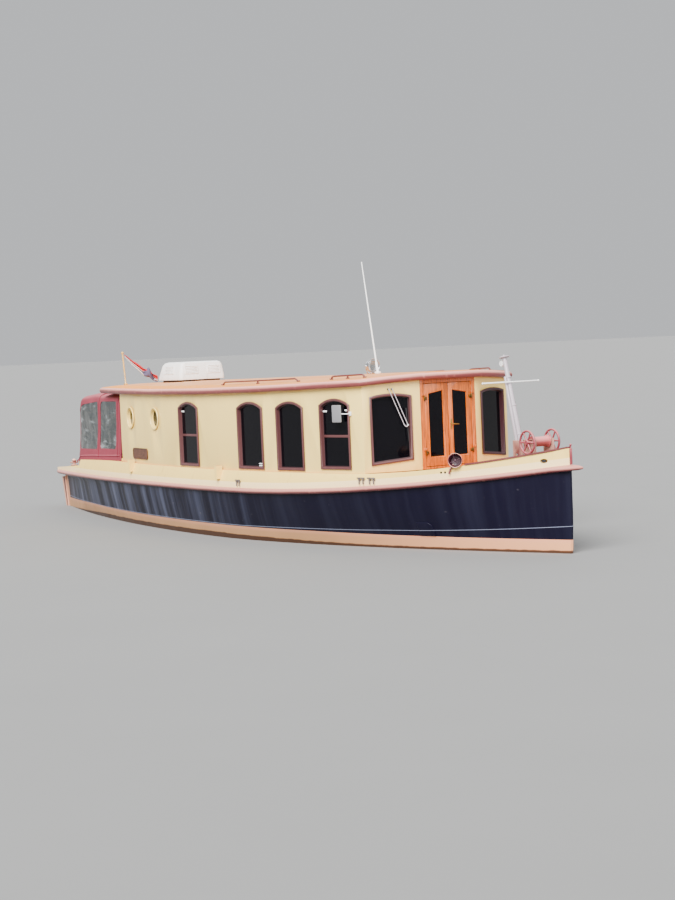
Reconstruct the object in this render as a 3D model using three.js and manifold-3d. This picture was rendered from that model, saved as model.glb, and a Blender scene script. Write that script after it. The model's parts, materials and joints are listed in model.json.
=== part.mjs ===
// A double-ended canal houseboat with a full-width cabin, a faceted front with double doors,
// a foredeck with mast and windlass, and an aft cockpit under a canvas hood.
// Millimetres. +X is the bow, +Y is port, +Z is up. The origin is amidships on the waterline.

import * as THREE from 'three';
import { mergeVertices } from 'three/addons/utils/BufferGeometryUtils.js';
import Module from 'manifold-3d';

const wasm = await Module();
wasm.setup();

// Driving dimensions
const GAP = 0.3;                  // clearance between pieces that touch
const DECK_HALF = 1500;           // half beam at the deck edge
const DECK_WIDEST_X = 1100;       // where the deck edge and the cabin are widest
const DECK_Z = 920;               // level of the decks that carry the cabin
const STEM_X = 6600;              // stem at deck level
const STERN_X = -6950;            // tip of the stern at deck level
const STEM_RISE = 290;            // how far the bulwark climbs to the stem
const SHEER_START_X = 3900;       // where the bulwark starts to climb
const KEEL_Z = -650;
const HULL_WALL = 140;            // side with its frames and lining
const CABIN_HALF = 1430;          // half width of the cabin where it is widest
const CABIN_AFT_X = -2450;
const CABIN_FORE_X = 4050;        // knuckle where the front panels start
const CABIN_BOW_K = 3.68e-5;      // plan curve of the cabin sides, forward part
const CABIN_STERN_K = 2.87e-5;    // and aft part
const WALL = 50;                  // cabin wall with its lining
const FRONT_X = 4300;             // outer face of the door frame
const FRONT_HALF = 420;           // half width of the door frame
const ROOF_CREST = 2085;          // roof height on the centreline at the origin
const ROOF_SLOPE = 0.01;          // rise of the crest towards the bow
const ROOF_CAMBER = 3.8e-5;       // drop with the square of the distance off the centreline
const ROOF_SKIN = 60;
const ROOF_AFT_X = -3330;         // the roof runs on over the cockpit
const ROOF_LIP = 42;              // roof beyond the cabin sides
const SOLE_Z = 20;                // cabin floor
const COCKPIT_Z = 220;            // cockpit floor
const COCKPIT_AFT_X = -5155;

const SIDES = [
  { name: 'starboard', y: -1 },
  { name: 'port', y: 1 },
];

const PAINT = {
  navy: { color: 0x23233d, roughness: 0.45, metalness: 0.1 },
  cream: { color: 0xefddb2, roughness: 0.45, metalness: 0.0 },
  maroon: { color: 0x7c3a44, roughness: 0.35, metalness: 0.0 },
  varnish: { color: 0xc7762a, roughness: 0.3, metalness: 0.0 },
  ochre: { color: 0xd9a56a, roughness: 0.6, metalness: 0.0 },
  white: { color: 0xf1f0ea, roughness: 0.5, metalness: 0.0 },
  grey: { color: 0xc9c5c6, roughness: 0.5, metalness: 0.2 },
  chrome: { color: 0xd8dadc, roughness: 0.15, metalness: 1.0 },
  bronze: { color: 0xa5803f, roughness: 0.4, metalness: 0.9 },
  iron: { color: 0x3d4a44, roughness: 0.7, metalness: 0.5 },
  teak: { color: 0x8b5a34, roughness: 0.7, metalness: 0.0 },
  canvas: { color: 0x6e2430, roughness: 0.95, metalness: 0.0 },
  bunting: { color: 0xc8ccd4, roughness: 0.9, metalness: 0.0 },
  pine: { color: 0xd8b368, roughness: 0.6, metalness: 0.0 },
};

const boat = new THREE.Group();

function add(name, geometry, paint) {
  const mesh = new THREE.Mesh(geometry, new THREE.MeshStandardMaterial(PAINT[paint]));
  mesh.name = name;
  boat.add(mesh);
}

// Solids and their joining

function toSolid(geometry) {
  const bare = new THREE.BufferGeometry();
  bare.setAttribute('position', geometry.getAttribute('position').clone());
  if (geometry.index) bare.setIndex(geometry.index.clone());
  const merged = mergeVertices(bare, 1e-3);
  return new wasm.Manifold(new wasm.Mesh({
    numProp: 3,
    vertProperties: new Float32Array(merged.getAttribute('position').array),
    triVerts: new Uint32Array(merged.index.array),
  }));
}

function toGeometry(solid) {
  const mesh = solid.getMesh();
  const geometry = new THREE.BufferGeometry();
  geometry.setAttribute('position', new THREE.BufferAttribute(new Float32Array(mesh.vertProperties), 3));
  geometry.setIndex(new THREE.BufferAttribute(new Uint32Array(mesh.triVerts), 1));
  geometry.computeVertexNormals();
  return geometry;
}

function join(...solids) {
  return solids.reduce((sum, solid) => sum.add(solid));
}

function cut(solid, ...cutters) {
  return cutters.reduce((rest, cutter) => rest.subtract(cutter), solid);
}

function box(x0, x1, y0, y1, z0, z1) {
  const geometry = new THREE.BoxGeometry(x1 - x0, y1 - y0, z1 - z0);
  geometry.translate((x0 + x1) / 2, (y0 + y1) / 2, (z0 + z1) / 2);
  return toSolid(geometry);
}

// A cylinder or cone between two points
function rod(from, to, radius, sides = 16, endRadius = radius) {
  const a = new THREE.Vector3(...from);
  const b = new THREE.Vector3(...to);
  const geometry = new THREE.CylinderGeometry(endRadius, radius, a.distanceTo(b), sides);
  const turn = new THREE.Quaternion().setFromUnitVectors(new THREE.Vector3(0, 1, 0), b.clone().sub(a).normalize());
  geometry.applyQuaternion(turn);
  geometry.translate((a.x + b.x) / 2, (a.y + b.y) / 2, (a.z + b.z) / 2);
  return toSolid(geometry);
}

function ball(centre, radius, squash = 1) {
  const geometry = new THREE.SphereGeometry(radius, 12, 7);
  geometry.scale(1, 1, squash);
  geometry.translate(...centre);
  return toSolid(geometry);
}

// A plan outline pulled up from z0 to z1
function prism(outline, z0, z1) {
  const shape = new THREE.Shape(outline.map(([x, y]) => new THREE.Vector2(x, y)));
  const geometry = new THREE.ExtrudeGeometry(shape, { depth: z1 - z0, bevelEnabled: false, curveSegments: 8 });
  geometry.translate(0, 0, z0);
  return toSolid(geometry);
}

// A tube along straight runs with rounded corners
function tube(points, radius, sides = 5, steps = 40) {
  const path = new THREE.CatmullRomCurve3(points.map((p) => new THREE.Vector3(...p)), false, 'catmullrom', 0.12);
  const ring = new THREE.Shape();
  ring.absarc(0, 0, radius, 0, Math.PI * 2, false);
  return toSolid(new THREE.ExtrudeGeometry(ring, { steps, extrudePath: path, curveSegments: sides, bevelEnabled: false }));
}

// Rings of equal length stitched in order, closed by caps or into a loop
function loft(rings, loop = false) {
  const count = rings[0].length;
  const points = rings.flat();
  const faces = [];
  const last = loop ? rings.length : rings.length - 1;
  for (let r = 0; r < last; r += 1) {
    const near = r * count;
    const far = ((r + 1) % rings.length) * count;
    for (let i = 0; i < count; i += 1) {
      const j = (i + 1) % count;
      faces.push([near + i, near + j, far + j], [near + i, far + j, far + i]);
    }
  }
  if (!loop) {
    faces.push(...cap(rings[0], 0).map(([a, b, c]) => [a, c, b]));
    faces.push(...cap(rings[rings.length - 1], (rings.length - 1) * count));
  }
  const volume = faces.reduce((sum, face) => {
    const [a, b, c] = face.map((i) => new THREE.Vector3(...points[i]));
    return sum + a.dot(b.cross(c));
  }, 0);
  const outward = volume < 0 ? faces.map(([a, b, c]) => [a, c, b]) : faces;
  const geometry = new THREE.BufferGeometry();
  geometry.setAttribute('position', new THREE.Float32BufferAttribute(points.flat(), 3));
  geometry.setIndex(outward.flat());
  return toSolid(geometry);
}

// The triangles that fill a ring whose second half runs back opposite the first
function cap(ring, start) {
  const faces = [];
  for (let i = 0; i < ring.length / 2 - 1; i += 1) {
    const [a, b, c, d] = [i, i + 1, ring.length - 2 - i, ring.length - 1 - i].map((k) => start + k);
    faces.push([a, b, c], [a, c, d]);
  }
  return faces;
}

// Hull form: columns are height, aft end, fore end, half beam, widest place and the two fullness powers
const LEVELS = [
  { z: KEEL_Z, aft: -5300, fore: 5300, half: 120, widest: 0, powerAft: 10, powerFore: 8 },
  { z: -600, aft: -5350, fore: 5700, half: 620, widest: 600, powerAft: 2.2, powerFore: 2.0 },
  { z: -480, aft: -5500, fore: 6050, half: 1020, widest: 900, powerAft: 2.0, powerFore: 1.8 },
  { z: -230, aft: -5750, fore: 6400, half: 1280, widest: 1100, powerAft: 1.9, powerFore: 1.7 },
  { z: 0, aft: -6540, fore: 6566, half: 1370, widest: 1150, powerAft: 1.79, powerFore: 1.65 },
  { z: 300, aft: -6591, fore: 6588, half: 1440, widest: 1130, powerAft: 1.85, powerFore: 1.95 },
  { z: 510, aft: -6627, fore: 6595, half: 1480, widest: 1110, powerAft: 1.89, powerFore: 2.15 },
];
const DECK_LEVEL = { aft: STERN_X, fore: STEM_X, half: DECK_HALF, widest: DECK_WIDEST_X, powerAft: 1.82, powerFore: 2.35 };
const STEM_HALF = 16;             // half thickness of the stem and stern posts
const STATIONS = 30;

function halfBeam(level, x) {
  const ahead = x > level.widest;
  const reach = ahead ? level.fore - level.widest : level.widest - level.aft;
  const part = Math.min(1, Math.abs(x - level.widest) / reach);
  return Math.max(STEM_HALF, level.half * (1 - part ** (ahead ? level.powerFore : level.powerAft)));
}

function strakeZ(x) {
  return x > 1200 ? 661 + 332 * ((x - 1200) / 5420) ** 2.25 : 661 - 90 * ((1200 - x) / 8150) ** 2.1;
}

function bulwarkZ(x) {
  if (x > SHEER_START_X) return DECK_Z + STEM_RISE * ((x - SHEER_START_X) / (STEM_X - SHEER_START_X)) ** 1.8;
  return x > -2600 ? DECK_Z : DECK_Z - 150 * ((-2600 - x) / 4350) ** 1.3;
}

// Above a knuckle just over the strake the side leans in, fading out along the foredeck
const LEAN = { most: 48, aftEnd: -6000, aft: -4800, fore: 3300, foreEnd: 4700, rise: 112 };

function sideLean(x) {
  const fore = (LEAN.foreEnd - x) / (LEAN.foreEnd - LEAN.fore);
  const aft = (x - LEAN.aftEnd) / (LEAN.aft - LEAN.aftEnd);
  return LEAN.most * Math.max(0, Math.min(1, fore, aft));
}

// Stations crowd towards the two ends, where the plan turns fastest
function stationX(level, i) {
  const even = i / STATIONS;
  const eased = (1 - Math.cos(Math.PI * even)) / 2;
  return level.aft + (level.fore - level.aft) * (0.45 * even + 0.55 * eased);
}

function hullRing(i, grow) {
  const side = LEVELS.map((level) => {
    const x = stationX(level, i);
    return [x, halfBeam(level, x) + grow, level.z - (level.z === KEEL_Z ? grow : 0)];
  });
  const x = stationX(DECK_LEVEL, i);
  const half = halfBeam(DECK_LEVEL, x) + grow;
  const leant = half - Math.min(sideLean(x), Math.max(0, half - STEM_HALF - grow));
  side.push([x, half, strakeZ(x)], [x, half, strakeZ(x) + LEAN.rise], [x, leant, bulwarkZ(x) + grow]);
  if (i === 0 || i === STATIONS) {
    const out = i === 0 ? -grow : grow;
    side.forEach((point) => { point[0] += out; });
  }
  return [...side.map(([px, py, pz]) => [px, -py, pz]), ...side.reverse()];
}

// Half beam of the hull at any place and height, for the pieces that follow it
function hullHalfAt(x, z) {
  const rows = [...LEVELS, { ...DECK_LEVEL, z: strakeZ(x) }];
  for (let i = 0; i < rows.length - 1; i += 1) {
    const [low, high] = [rows[i], rows[i + 1]];
    if (z <= high.z) {
      const part = Math.max(0, (z - low.z) / (high.z - low.z));
      return halfBeam(low, x) * (1 - part) + halfBeam(high, x) * part;
    }
  }
  return halfBeam(DECK_LEVEL, x);
}

// A well inside the hull between two bulkheads, following the sides at a constant distance
function well(x0, x1, floor, inset, heights) {
  const rings = [];
  const steps = Math.max(2, Math.round((x1 - x0) / 500));
  for (let i = 0; i <= steps; i += 1) {
    const x = x0 + (x1 - x0) * (i / steps);
    const side = [floor, ...heights].map((z) => [x, Math.max(STEM_HALF, hullHalfAt(x, z) - inset), z]);
    rings.push([...side.map(([px, py, pz]) => [px, -py, pz]), ...side.reverse()]);
  }
  return loft(rings);
}

// The deck outline from the stern tip along one side to the stem, moved in or out
function deckLine(x, offset) {
  return halfBeam(DECK_LEVEL, x) + offset;
}

const ABOVE = 1600;               // height that clears everything a cutter has to clear

// The bulwarks end at the after deck, which lies just above the rubbing strake
const AFTER_DECK = { fore: -4870, high: 765, aft: STERN_X, low: 645 };

function afterDeckZ(x) {
  const part = (AFTER_DECK.fore - x) / (AFTER_DECK.fore - AFTER_DECK.aft);
  return AFTER_DECK.high - (AFTER_DECK.high - AFTER_DECK.low) * part;
}

function overAfterDeck(grow) {
  return loft([AFTER_DECK.aft - 300, AFTER_DECK.fore - grow].map((x) => {
    const z = afterDeckZ(x) + grow;
    return [[x, -2000, z], [x, 2000, z], [x, 2000, ABOVE], [x, -2000, ABOVE]];
  }));
}

function hullBody(grow) {
  return cut(loft(Array.from({ length: STATIONS + 1 }, (_, i) => hullRing(i, grow))), overAfterDeck(grow));
}
const hullOuter = hullBody(0);
const hullClear = hullBody(2 * GAP);
const cabinWell = well(-2350, 3950, SOLE_Z, HULL_WALL, [300, 700, ABOVE]);
const cockpitWell = well(COCKPIT_AFT_X, -2620, COCKPIT_Z, HULL_WALL, [500, ABOVE]);
const FOREDECK = { aft: 3900, fore: 6520, inset: 45 };
const foredeckWell = well(FOREDECK.aft, FOREDECK.fore, DECK_Z, FOREDECK.inset, [ABOVE]);
const ENGINE = { x0: -3900, x1: -3000, half: 300, z0: -400, z1: 190 };
const ENGINE_ROOM = 45;           // space around the engine in its bay
const engineBay = box(
  ENGINE.x0 - ENGINE_ROOM,
  ENGINE.x1 + ENGINE_ROOM,
  -ENGINE.half - ENGINE_ROOM,
  ENGINE.half + ENGINE_ROOM,
  ENGINE.z0 - GAP,
  ABOVE,
);

// The stern tube that the propeller runs in, and the sole piece under propeller and rudder
const PROP = { x: -5930, z: -400, radius: 185 };
const sternTube = rod([-5200, 0, PROP.z], [PROP.x + 75, 0, PROP.z], 48, 20);
const solePiece = box(-6545, -5150, -30, 30, KEEL_Z - 5, KEEL_Z + 45);

// Timberheads on the band above the rubbing strake
const TIMBERHEAD_X = [-1800, 1150];
const timberheads = SIDES.flatMap((side) => TIMBERHEAD_X.map((x) => {
  const face = side.y * deckLine(x, 0);
  const out = side.y * 45;
  return box(x - 28, x + 28, Math.min(face - out, face + out), Math.max(face - out, face + out), 800, 975);
}));

const hull = cut(join(hullOuter, sternTube, ...timberheads), cabinWell, cockpitWell, foredeckWell, engineBay);
add('hull_shell', toGeometry(hull), 'navy');

add('skeg', toGeometry(cut(solePiece, hullClear)), 'navy');

add('engine_block', toGeometry(
  box(ENGINE.x0, ENGINE.x1, -ENGINE.half, ENGINE.half, ENGINE.z0, ENGINE.z1),
), 'iron');

// Floors: a slice of the well that they lie in
function floorBoards(wellSolid, z, thick, clear, x0, x1) {
  const slice = box(x0, x1, -2000, 2000, z + GAP, z + thick);
  return wellSolid.intersect(slice).scale([1, 1 - clear, 1]);
}
add('cabin_sole', toGeometry(floorBoards(cabinWell, SOLE_Z, 30, 0.012, -2345, 3945)), 'teak');
add('cockpit_sole', toGeometry(floorBoards(cockpitWell, COCKPIT_Z, 28, 0.02, COCKPIT_AFT_X + 5, -2625)), 'teak');

// Rubbing strake: one half-round ring round the deck edge, drawn out into a nose at each end
const STRAKE = { reach: 50, half: 35, nose: 225, tail: 68 };
const STRAKE_SECTION = [[0, 1], [0, -1], [0.62, -0.8], [0.93, -0.4], [1, 0], [0.93, 0.4], [0.62, 0.8]];

function outlineStation(i, count) {
  const forward = i <= count;
  const step = forward ? i : 2 * count - i;
  const even = step / count;
  const x = STERN_X + (STEM_X - STERN_X) * (0.35 * even + 0.65 * (1 - Math.cos(Math.PI * even)) / 2);
  return { x, side: forward ? -1 : 1, tip: step === 0 || step === count };
}

function ringAlongDeck(section, reachAt, z, clear) {
  const count = 26;
  const rings = [];
  for (let i = 0; i < 2 * count; i += 1) {
    const { x, side, tip } = outlineStation(i, count);
    const step = 4;
    const slope = (deckLine(x + step, 0) - deckLine(x - step, 0)) / (2 * step);
    const length = Math.hypot(1, slope);
    const normal = tip ? [Math.sign(x), 0] : [-slope / length, side / length];
    const y = tip ? 0 : side * deckLine(x, 0);
    rings.push(section.map(([out, up]) => {
      const reach = clear + out * reachAt(x);
      return [x + normal[0] * reach, y + normal[1] * reach, z(x) + up];
    }));
  }
  return loft(rings, true);
}

function strakeReach(x) {
  const bow = Math.exp(-(((STEM_X - x) / 60) ** 2));
  const stern = Math.exp(-(((x - STERN_X) / 60) ** 2));
  return STRAKE.reach + (STRAKE.nose - STRAKE.reach) * bow + (STRAKE.tail - STRAKE.reach) * stern;
}
const strakeSection = STRAKE_SECTION.map(([out, up]) => [out, up * STRAKE.half]);
const strake = ringAlongDeck(strakeSection, strakeReach, strakeZ, GAP);
add('rubbing_strake', toGeometry(cut(strake, hullClear)), 'maroon');

// Cap rail on the foredeck bulwark, round the stem, and the post that it ends in
const CAP = { start: 5450, out: 12, width: 62, thick: 22 };

function capRail() {
  const count = 12;
  const rings = [];
  for (const side of SIDES) {
    for (let i = 0; i <= count; i += 1) {
      const part = side.y < 0 ? i / count : 1 - i / count;
      const x = CAP.start + (STEM_X - 12 - CAP.start) * Math.sin(part * Math.PI / 2);
      const outer = deckLine(x, CAP.out);
      const inner = Math.max(outer - CAP.width, 4);
      const z = bulwarkZ(x) + GAP;
      rings.push([[x, side.y * outer, z], [x, side.y * inner, z], [x, side.y * inner, z + CAP.thick],
        [x, side.y * outer, z + CAP.thick]]);
    }
  }
  const starboard = loft(rings.slice(0, count + 1));
  const port = loft(rings.slice(count + 1).map((ring) => [...ring].reverse()).reverse());
  const z = bulwarkZ(STEM_X) + GAP;
  const breastHook = prism([[6350, -130], [STEM_X, -14], [STEM_X, 14], [6350, 130]], z - 36, z + CAP.thick);
  const slope = box(6200, STEM_X + 10, -200, 200, z - 200, z + 200);
  const overDeck = loft([6200, 6350, 6500, STEM_X + 5].map((x) => {
    const low = bulwarkZ(x) + GAP;
    return [[x, -200, low], [x, 200, low], [x, 200, low + CAP.thick], [x, -200, low + CAP.thick]];
  }));
  return join(starboard, port, breastHook.intersect(slope).intersect(overDeck));
}
add('bulwark_cap_rail', toGeometry(cut(capRail(), hullClear)), 'maroon');

const stemPost = join(
  box(STEM_X + 2, STEM_X + 20, -14, 14, strakeZ(STEM_X) + STRAKE.half + 2, 1206),
  rod([STEM_X + 11, 0, 1200], [STEM_X + 11, 0, 1238], 8, 12),
  ball([STEM_X + 11, 0, 1248], 15),
);
add('stem_post', toGeometry(cut(stemPost, hullClear)), 'maroon');

// Cabin plan and walls
function cabinHalf(x) {
  const k = x > DECK_WIDEST_X ? CABIN_BOW_K : CABIN_STERN_K;
  return CABIN_HALF - k * (x - DECK_WIDEST_X) ** 2;
}

function sideCurve(x0, x1, steps, inset, y) {
  return Array.from({ length: steps + 1 }, (_, i) => {
    const x = x0 + (x1 - x0) * (i / steps);
    return [x, y * (cabinHalf(x) - inset)];
  });
}

// Roof: one cambered sheet with the plan of the cabin, run on over the cockpit
const ROOF_FRONT = { corner: CABIN_FORE_X + 25, x: FRONT_X + 45, half: 430 };

function roofTopZ(x, y) {
  return ROOF_CREST + ROOF_SLOPE * x - ROOF_CAMBER * y * y;
}

function roofHalf(x, lip) {
  const side = cabinHalf(x) + lip;
  if (x <= ROOF_FRONT.corner) return side;
  const part = (x - ROOF_FRONT.corner) / (ROOF_FRONT.x - ROOF_FRONT.corner);
  return (cabinHalf(ROOF_FRONT.corner) + lip) * (1 - part) + (ROOF_FRONT.half + lip) * part;
}
const roofXs = [];
for (let x = ROOF_AFT_X; x < ROOF_FRONT.corner - 100; x += 370) roofXs.push(x);
roofXs.push(ROOF_FRONT.corner, (ROOF_FRONT.corner + ROOF_FRONT.x) / 2, ROOF_FRONT.x);

function roofSheet(low, high) {
  const across = [-1, -0.75, -0.5, -0.25, 0, 0.25, 0.5, 0.75, 1];
  return loft(roofXs.map((x) => {
    const half = roofHalf(x, ROOF_LIP);
    const bottom = across.map((part) => [x, part * half, low(x, part * half)]);
    const top = across.map((part) => [x, part * half, high(x, part * half)]).reverse();
    return [...bottom, ...top];
  }));
}
const roof = roofSheet((x, y) => roofTopZ(x, y) - ROOF_SKIN, roofTopZ);
add('roof_panel', toGeometry(roof), 'ochre');
// What the walls stop at and what stands on the roof starts from
const overRoof = roofSheet((x, y) => roofTopZ(x, y) - ROOF_SKIN - GAP, () => 3000);
const underRoof = roofSheet(() => 1500, (x, y) => roofTopZ(x, y) + GAP);

// Arched opening in a wall: width, sill and shoulder heights, rise of the arch; u runs along the wall
function archOutline(u0, u1, sill0, sill1, shoulder, rise, grow = 0) {
  const shape = new THREE.Shape();
  const half = (u1 - u0) / 2 + grow;
  const middle = (u0 + u1) / 2;
  const radius = (half * half + rise * rise) / (2 * rise);
  const spread = Math.asin(half / radius);
  const top = shoulder + grow * 0.5;
  shape.moveTo(u0 - grow, sill0 - grow);
  shape.lineTo(u1 + grow, sill1 - grow);
  shape.lineTo(u1 + grow, top);
  shape.absarc(middle, top + rise - radius, radius, Math.PI / 2 - spread, Math.PI / 2 + spread, false);
  return shape;
}

// A solid with that outline, standing on a wall: at is where u = 0 lies, along the direction of the wall,
// and depth runs from the near to the far distance on the outer side
function onWall(shape, at, along, near, far) {
  const geometry = new THREE.ExtrudeGeometry(shape, { depth: far - near, bevelEnabled: false, curveSegments: 6 });
  geometry.translate(0, 0, near);
  const u = new THREE.Vector3(along[0], along[1], 0).normalize();
  const up = new THREE.Vector3(0, 0, 1);
  const out = u.clone().cross(up);
  geometry.applyMatrix4(new THREE.Matrix4().makeBasis(u, up, out));
  geometry.translate(at[0], at[1], 0);
  return toSolid(geometry);
}

const FRAME = { lap: 18, clear: 3, liner: 16, flange: 14, inside: 12, pane: 8 };

// A window: flange outside the wall, liner through it and a pane at its inner end
function windowSolid(outline, place, proud) {
  const solid = (grow, near, far) => onWall(outline(grow), ...place, near, far);
  const innerLine = -FRAME.lap - FRAME.clear - FRAME.liner;
  const back = -WALL - FRAME.inside;
  const hole = solid(innerLine, back + FRAME.pane, proud + FRAME.flange + 1);
  const liner = solid(-FRAME.lap - FRAME.clear, back, proud + 1);
  const flange = solid(0, proud, proud + FRAME.flange);
  return cut(join(flange, liner), hole);
}

// Side windows: where each starts and ends along the boat; the foremost one stands a little higher
const SIDE_WINDOWS = [
  { x0: -60, x1: 530 },
  { x0: 1580, x1: 2165 },
  { x0: 2455, x1: 3000 },
  { x0: 3305, x1: 3840, lift: 26 },
];
const SIDE_SILL = 942;
const SIDE_SHOULDER = 1740;
const SIDE_RISE = 80;
const PORTHOLES = { x: [-1930, -920], z: 1578, radius: 160, hole: 146, bore: 132 };

function sidePlace({ x0, x1 }, y) {
  const start = [x0, y * cabinHalf(x0)];
  const end = [x1, y * cabinHalf(x1)];
  return y < 0 ? [start, [end[0] - start[0], end[1] - start[1]]] : [end, [start[0] - end[0], start[1] - end[1]]];
}

function sideOutline({ x0, x1, lift = 0 }) {
  const sill = SIDE_SILL + lift;
  return (grow) => archOutline(0, x1 - x0, sill, sill, SIDE_SHOULDER + lift, SIDE_RISE, grow);
}

// A point on a porthole's axis, which stands square to the wall
function portholeAxis(x, y, depth) {
  const slope = (cabinHalf(x + 5) - cabinHalf(x - 5)) / 10;
  const out = new THREE.Vector2(-slope, 1).normalize();
  return [x + out.x * depth, y * (cabinHalf(x) + out.y * depth), PORTHOLES.z];
}

// A porthole: ring outside the wall, liner through it and a pane at its inner end
function porthole(x, y) {
  const at = (depth) => portholeAxis(x, y, depth);
  const back = -WALL - FRAME.inside;
  return cut(
    join(
      rod(at(9), at(23), PORTHOLES.radius, 24),
      rod(at(back), at(10), PORTHOLES.hole - 6, 24),
    ),
    rod(at(back + FRAME.pane), at(30), PORTHOLES.bore, 24),
  );
}

for (const side of SIDES) {
  const outer = sideCurve(CABIN_AFT_X, CABIN_FORE_X, 18, 0, side.y);
  const inner = sideCurve(CABIN_AFT_X, CABIN_FORE_X, 18, WALL, side.y).reverse();
  const wall = prism([...outer, ...inner], DECK_Z + GAP, 2300);
  const openings = SIDE_WINDOWS.map((w) => onWall(sideOutline(w)(-FRAME.lap), ...sidePlace(w, side.y), -150, 150));
  const ports = PORTHOLES.x.map((x) => (
    rod(portholeAxis(x, side.y, -150), portholeAxis(x, side.y, 150), PORTHOLES.hole, 24)
  ));
  add(`cabin_side_${side.name}`, toGeometry(cut(wall, ...openings, ...ports, overRoof, hullClear)), 'cream');
  PORTHOLES.x.forEach((x, i) => {
    add(`porthole_${side.name}_${i + 1}`, toGeometry(porthole(x, side.y)), 'cream');
  });
  SIDE_WINDOWS.forEach((w, i) => {
    const solid = windowSolid(sideOutline(w), sidePlace(w, side.y), 4);
    add(`side_window_${side.name}_${i + 1}`, toGeometry(solid), 'maroon');
  });
}

// Front panels, angled back from the door frame to the knuckle, each with one window
const FRONT_WINDOW = { u0: 85, u1: 622, sillOut: 1010, sillIn: 1060, shoulder: 1852, rise: 34 };

for (const side of SIDES) {
  const knuckle = [CABIN_FORE_X, side.y * cabinHalf(CABIN_FORE_X)];
  const jamb = [FRONT_X, side.y * FRONT_HALF];
  const along = [jamb[0] - knuckle[0], jamb[1] - knuckle[1]];
  const length = Math.hypot(...along);
  const normal = [Math.abs(along[1]) / length, side.y * along[0] / length];
  const back = ([x, y]) => [x - normal[0] * WALL, y - normal[1] * WALL];
  const shift = side.y * GAP;
  const panel = prism([
    [knuckle[0] + GAP, knuckle[1]],
    [jamb[0], jamb[1] + shift],
    [back(jamb)[0], jamb[1] + shift],
    [knuckle[0] + GAP, knuckle[1] - side.y * WALL * 1.05],
  ], DECK_Z + GAP, 2300);
  const w = FRONT_WINDOW;
  const outline = (grow) => (side.y < 0
    ? archOutline(w.u0, w.u1, w.sillOut, w.sillIn, w.shoulder, w.rise, grow)
    : archOutline(length - w.u1, length - w.u0, w.sillIn, w.sillOut, w.shoulder, w.rise, grow));
  const place = side.y < 0 ? [knuckle, along] : [jamb, [-along[0], -along[1]]];
  const opening = onWall(outline(-FRAME.lap), ...place, -150, 150);
  add(`front_panel_${side.name}`, toGeometry(cut(panel, opening, overRoof, hullClear)), 'cream');
  add(`front_window_${side.name}`, toGeometry(windowSolid(outline, place, GAP)), 'maroon');
}

// Door frame and the two glazed leaves, which open outwards over the foredeck
const DOOR = { sill: 958, head: 1985, open: 362, deep: 60, rim: 5, leaf: 40, thick: 40 };
const HINGE = { x: FRONT_X + 11, y: DOOR.open - 4, z: [1130, 1800], half: 30, radius: 9 };
const frameLugs = SIDES.flatMap((side) => HINGE.z.flatMap((z) => {
  const low = z + HINGE.half + 2;
  const [y0, y1] = [side.y * HINGE.y, side.y * (HINGE.y + 45)];
  return [
    rod([HINGE.x, y0, low], [HINGE.x, y0, low + 30], HINGE.radius, 12),
    box(FRONT_X - 4, HINGE.x, Math.min(y0, y1), Math.max(y0, y1), low, low + 30),
  ];
}));
const doorFrame = cut(
  box(FRONT_X - DOOR.deep, FRONT_X, -FRONT_HALF, FRONT_HALF, DECK_Z + GAP, 2300),
  box(FRONT_X - 200, FRONT_X, -DOOR.open, DOOR.open, DOOR.sill, DOOR.head),
  overRoof,
);
add('door_frame', toGeometry(cut(join(doorFrame, ...frameLugs), hullClear)), 'varnish');

const PANE = { stile: 72, sill: 150, shoulderOut: 1868, shoulderIn: 1905, glass: 8 };
for (const side of SIDES) {
  const y0 = side.y * DOOR.rim;
  const y1 = side.y * (DOOR.open - DOOR.rim);
  const low = DOOR.sill + 6;
  const high = DOOR.head - 6;
  const pane = new THREE.Shape([
    new THREE.Vector2(Math.abs(y0) + PANE.stile, low + PANE.sill),
    new THREE.Vector2(Math.abs(y1) - PANE.stile, low + PANE.sill),
    new THREE.Vector2(Math.abs(y1) - PANE.stile, PANE.shoulderOut),
    new THREE.Vector2(Math.abs(y0) + PANE.stile, PANE.shoulderIn),
  ]);
  const window = (near, far) => {
    const geometry = new THREE.ExtrudeGeometry(pane, { depth: far - near, bevelEnabled: false });
    geometry.translate(0, 0, near);
    geometry.applyMatrix4(new THREE.Matrix4().makeBasis(
      new THREE.Vector3(0, 1, 0),
      new THREE.Vector3(0, 0, 1),
      new THREE.Vector3(1, 0, 0),
    ));
    const solid = toSolid(geometry);
    return side.y > 0 ? solid : solid.mirror([0, 1, 0]);
  };
  const face = FRONT_X - 4;
  const leaf = box(face - DOOR.thick, face, Math.min(y0, y1), Math.max(y0, y1), low, high);
  const pocket = join(window(face - DOOR.thick - 10, face - 24), window(face - 16, face + 10));
  const knuckles = HINGE.z.map((z) => {
    const at = (up) => [HINGE.x, side.y * HINGE.y, z + up];
    return rod(at(-HINGE.half), at(HINGE.half), HINGE.radius, 12);
  });
  const straps = HINGE.z.map((z) => box(
    face - 10,
    HINGE.x,
    Math.min(side.y * HINGE.y, side.y * (HINGE.y - 40)),
    Math.max(side.y * HINGE.y, side.y * (HINGE.y - 40)),
    z - 18,
    z + 18,
  ));
  add(`door_leaf_${side.name}`, toGeometry(join(cut(leaf, pocket), ...knuckles, ...straps)), 'varnish');
}

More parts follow.
